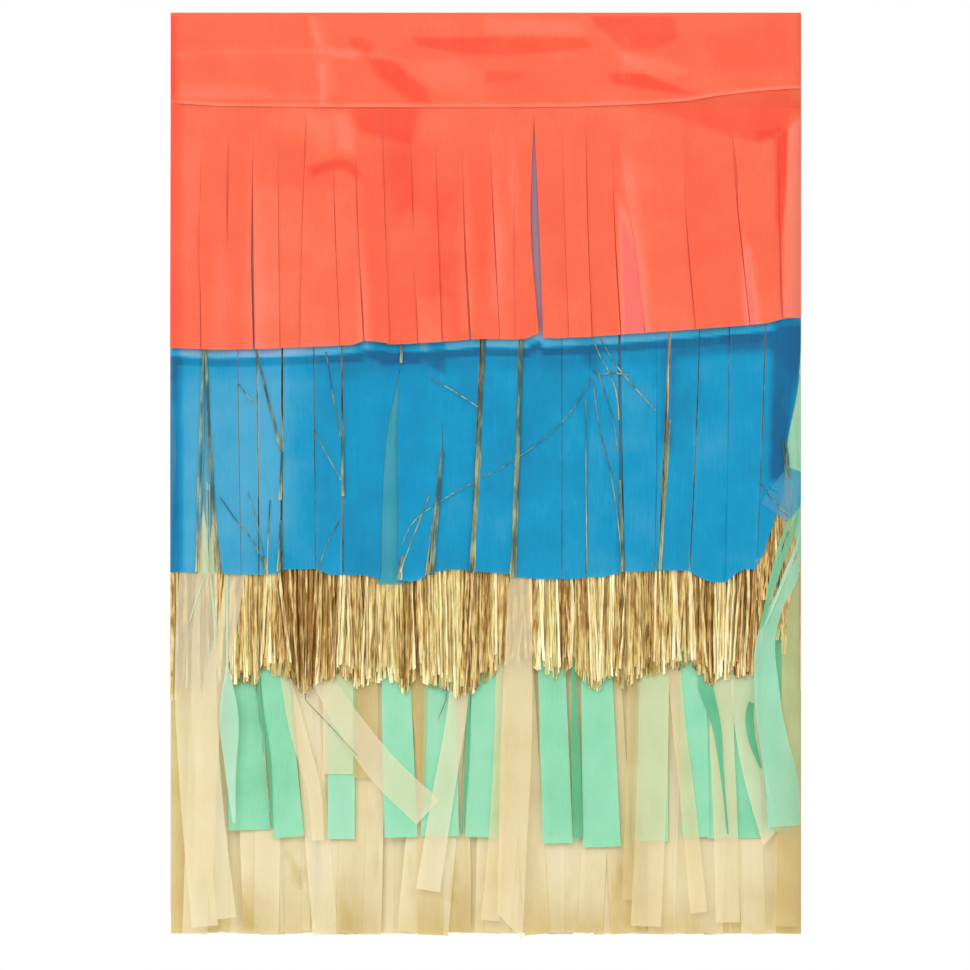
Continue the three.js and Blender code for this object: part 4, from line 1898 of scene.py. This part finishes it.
    def build(self) -> None:
        """Makes every piece of the front panel."""
        tissue, seen = self.finishes.tissue, self.finishes.one_ply
        FoldedStrip(self.panel, "tape_1", "hanging_tape_1", level_edge("hanging_tape_1"),
                    columns=90, flap_rows=4, crumple=0.0, inset_px=4.0).make(self.finishes.tape)
        FoldedStrip(self.panel, "band_1", "header_band_1", FRONT_EDGE, FRONT_WRINKLES, BAND_SHADES,
                    columns=420, flap_rows=90).make(tissue[Tint.CORAL])
        self.headings()
        self.tissue()
        self.gold()
        self.loose("mint_strips_1", MINT_STRIPS, tissue[Tint.MINT], Tint.MINT, "mint_fringe_1")
        self.ivory()
        self.loose("mint_over_gold", MINT_OVER_GOLD, seen[Tint.MINT], Tint.GOLD)
        self.loose("ivory_over_gold", IVORY_OVER_GOLD, seen[Tint.IVORY], Tint.GOLD)
        self.loose("ivory_over_mint", IVORY_OVER_MINT, seen[Tint.IVORY], Tint.MINT)
        self.loose("mint_dark_folds", MINT_FOLD_SHADOWS, tissue[Tint.MINT], Tint.MINT)
        self.loose("green_behind_1", GREEN_BEHIND, tissue[Tint.MINT], Tint.GOLD)
        # Strands in the slits and the dark strays take the copy of the foil with painted shade.
        foil_in_shade = self.finishes.shaded_foil
        slits = (SLIT_STRANDS, (0.37, 0.37), 1.5), (STRAY_STRANDS, (0.44, 0.44), 1.0)
        self.strays("stray_strands", slits, Tint.BLUE, foil_in_shade)
        self.strays("low_stray_strands", ((LOW_STRAYS, (0.42, 0.8, 0.95), 1.0),), Tint.MINT, foil_in_shade)
        self.strays("edge_strands", ((EDGE_STRANDS, (0.37, 0.46), 1.5),), Tint.GOLD, tissue[Tint.GOLD])


@dataclass
class PlainPanel:
    """A panel behind the front one."""

    panel: Panel
    finishes: Finishes
    strips: HangingStrips

    def row(self, tint: Tint) -> None:
        """Hangs one sheet of the panel: two plies of tissue strips, or foil strands.

        Args:
            tint: The sheet.
        """
        number, seam = self.panel.number, self.panel.hang.seam
        node = f"{tint.value}_fringe_{number}"
        low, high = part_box(node)
        finish = self.finishes.tissue[tint]
        values = {
            "Drop": seam - low.z, "Heading": high.z - seam, "Material": finish.material,
            "Seed": 10 * number + list(Tint).index(tint),
        }
        if tint is Tint.GOLD:
            values |= {
                "Count": 300, "Pitch": 1.03 * MM, "Width": 1.5 * MM, "Ragged": 13 * MM, "Slant": 0.02,
                "Sway": 4 * MM, "Kink": 1.2 * MM, "Clump": 0.45, "Twist": 1.6, "Ply Gap": 0.2 * MM,
                "Spread": 0.3 * MM, "Rows": 26, "Columns": 2, "Tone Low": 0.0, "Tone High": 1.0,
            }
        else:
            values |= {"Count": 49, "Ragged": 2.5 * MM}
        piece = place_row(self.strips.row(f"{tint.value}_strips_{number}", values), self.panel, tint)
        finish.dress(piece)
        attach(piece, self.panel.body)
        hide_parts(node)

    def build(self) -> None:
        """Makes the panel's tape, its band and its five sheets."""
        number = self.panel.number
        tape, band = f"hanging_tape_{number}", f"header_band_{number}"
        FoldedStrip(self.panel, f"tape_{number}", tape, level_edge(tape), columns=60, flap_rows=4,
                    crumple=0.0, inset_px=4.0).make(self.finishes.tape)
        rng = np.random.default_rng(number)
        creases = tuple(
            Wrinkle((x, 20), (x + rng.uniform(-8, 8), 104), 3.0, rng.uniform(0.15, 0.3))
            for x in rng.uniform(200, 780, 5)
        )
        FoldedStrip(self.panel, f"band_{number}", band, level_edge(band), creases).make(
            self.finishes.tissue[Tint.CORAL])
        for tint in Tint:
            self.row(tint)


@dataclass(frozen=True)
class Studio:
    """Pale floor, plain soft light and the camera."""

    camera_distance: float = 4.0
    floor_drop: float = 0.17
    floor_radius: float = 1.1
    floor_corners: int = 96
    world_light: float = 0.76
    key_share: float = 0.36
    fill_share: float = 0.14
    back_share: float = 0.16

    def world(self) -> None:
        """Even pale light, with a white background for the camera and for reflections."""
        world = bpy.data.worlds.new("studio")
        bpy.context.scene.world = world
        world.use_nodes = True
        world.node_tree.nodes.clear()
        n = Nodes(world.node_tree)
        path = n.add("ShaderNodeLightPath").outputs
        seen = n.math("MAXIMUM", path["Is Glossy Ray"], path["Is Transmission Ray"])
        seen = n.math("MAXIMUM", path["Is Camera Ray"], seen)
        light = n.add("ShaderNodeBackground", {0: (1, 1, 1, 1), 1: self.world_light}).outputs[0]
        white = n.add("ShaderNodeBackground", {0: (1, 1, 1, 1), 1: 1.0}).outputs[0]
        both = n.add("ShaderNodeMixShader", {0: seen, 1: light, 2: white}).outputs[0]
        n.add("ShaderNodeOutputWorld", {0: both})

    def floor(self) -> None:
        """A pale round floor below the hanging fringe."""
        mesh = bpy.data.meshes.new("floor")
        low = cad_box[0][2] - self.floor_drop
        ring = [(self.floor_radius * math.cos(a), self.floor_radius * math.sin(a), low)
                for a in np.linspace(0, 2 * math.pi, self.floor_corners + 1)[:-1]]
        mesh.from_pydata(ring, [], [list(range(self.floor_corners))])
        piece = finished("floor", mesh)
        made, n = new_material("floor_paint")
        seen = n.product(n.add("ShaderNodeLightPath").outputs["Is Camera Ray"], 0.6)
        paint = n.add("ShaderNodeBsdfDiffuse", {"Color": (0.86, 0.86, 0.85, 1)}).outputs[0]
        white = n.add("ShaderNodeEmission", {"Color": (1, 1, 1, 1), "Strength": 1.0}).outputs[0]
        both = n.add("ShaderNodeMixShader", {0: seen, 1: paint, 2: white}).outputs[0]
        n.add("ShaderNodeOutputMaterial", {"Surface": both})
        piece.data.materials.append(made)

    def lamp(self, name: str, place: tuple, size: float, share: float) -> None:
        """A square soft lamp that looks at the garland's middle.

        Args:
            name: Name of the lamp.
            place: Where it stands.
            size: Side of its square.
            share: Part of full light that it gives a surface that faces it.
        """
        light = bpy.data.lights.new(name, "AREA")
        light.shape, light.size = "SQUARE", size
        way = (Vector(cad_box[0]) + Vector(cad_box[1])) / 2 - Vector(place)
        light.energy = math.pi ** 2 * share * way.length_squared
        lamp = bpy.data.objects.new(name, light)
        lamp.location = place
        lamp.rotation_euler = way.to_track_quat("-Z", "Y").to_euler()
        bpy.context.scene.collection.objects.link(lamp)

    def camera(self) -> None:
        """A long lens square to the front panel, framed as the photograph is."""
        data = bpy.data.cameras.new("camera")
        data.sensor_width = 36.0
        data.lens = data.sensor_width * self.camera_distance / (PHOTO.frame_px * PHOTO.pixel)
        data.clip_end = 20.0
        camera = bpy.data.objects.new("camera", data)
        half_frame = PHOTO.frame_px / 2
        camera.location = (
            float(PHOTO.across(half_frame)), cad_box[0][1] - self.camera_distance,
            float(PHOTO.height(half_frame)),
        )
        camera.rotation_euler = (math.pi / 2, 0, 0)
        bpy.context.scene.collection.objects.link(camera)
        bpy.context.scene.camera = camera

    def build(self) -> None:
        """Sets the stage."""
        self.world()
        self.floor()
        self.lamp("key", (-1.3, -2.6, 1.5), 1.8, self.key_share)
        self.lamp("fill", (2.2, -2.2, 0.4), 2.0, self.fill_share)
        self.lamp("back", (0.8, 3.0, 1.2), 2.0, self.back_share)
        self.camera()
        bpy.context.scene.view_settings.view_transform = "Standard"


def panels() -> list[Panel]:
    """Finds the five panels, their bodies and the folds beside them.

    Returns:
        Panels from the front one to the rear one.
    """
    members = frame["record"]["behaviour"]["bodies"]
    body_of = {node: body for body, nodes in members.items() for node in nodes}
    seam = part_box("coral_fringe_1")[1].z
    hang = Hang(seam=seam, lowest=cad_box[0][2], middle_y=(cad_box[0][1] + cad_box[1][1]) / 2)

    def middle(node: str) -> float:
        """Middle of a CAD node along Y."""
        low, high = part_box(node)
        return (low.y + high.y) / 2

    found = []
    for number in range(1, PANEL_COUNT + 1):
        band = f"header_band_{number}"
        layers = {tint: middle(f"{tint.value}_fringe_{number}") for tint in Tint}
        facing = math.copysign(1.0, layers[Tint.CORAL] - layers[Tint.IVORY])
        found.append(Panel(number, body_of[band], hang, layers, middle(band), facing))
    found[0].opening = FRONT_OPENING
    for joint in frame["joints"]:
        if joint["name"].startswith("fold_"):
            for number in joint["name"].split("_")[1:]:
                found[int(number) - 1].folds.append(joint["pos_m"][:2])
    return found


def main() -> None:
    """Builds the garland from the front panel to the rear one, then the stage."""
    logging.basicConfig(level=logging.INFO, format="%(name)s: %(message)s")
    finishes = Finishes()
    strips = HangingStrips()
    front, *others = panels()
    FrontPanel(front, finishes, strips).build()
    for panel in others:
        PlainPanel(panel, finishes, strips).build()
    Studio().build()


if __name__ == "__main__":
    main()
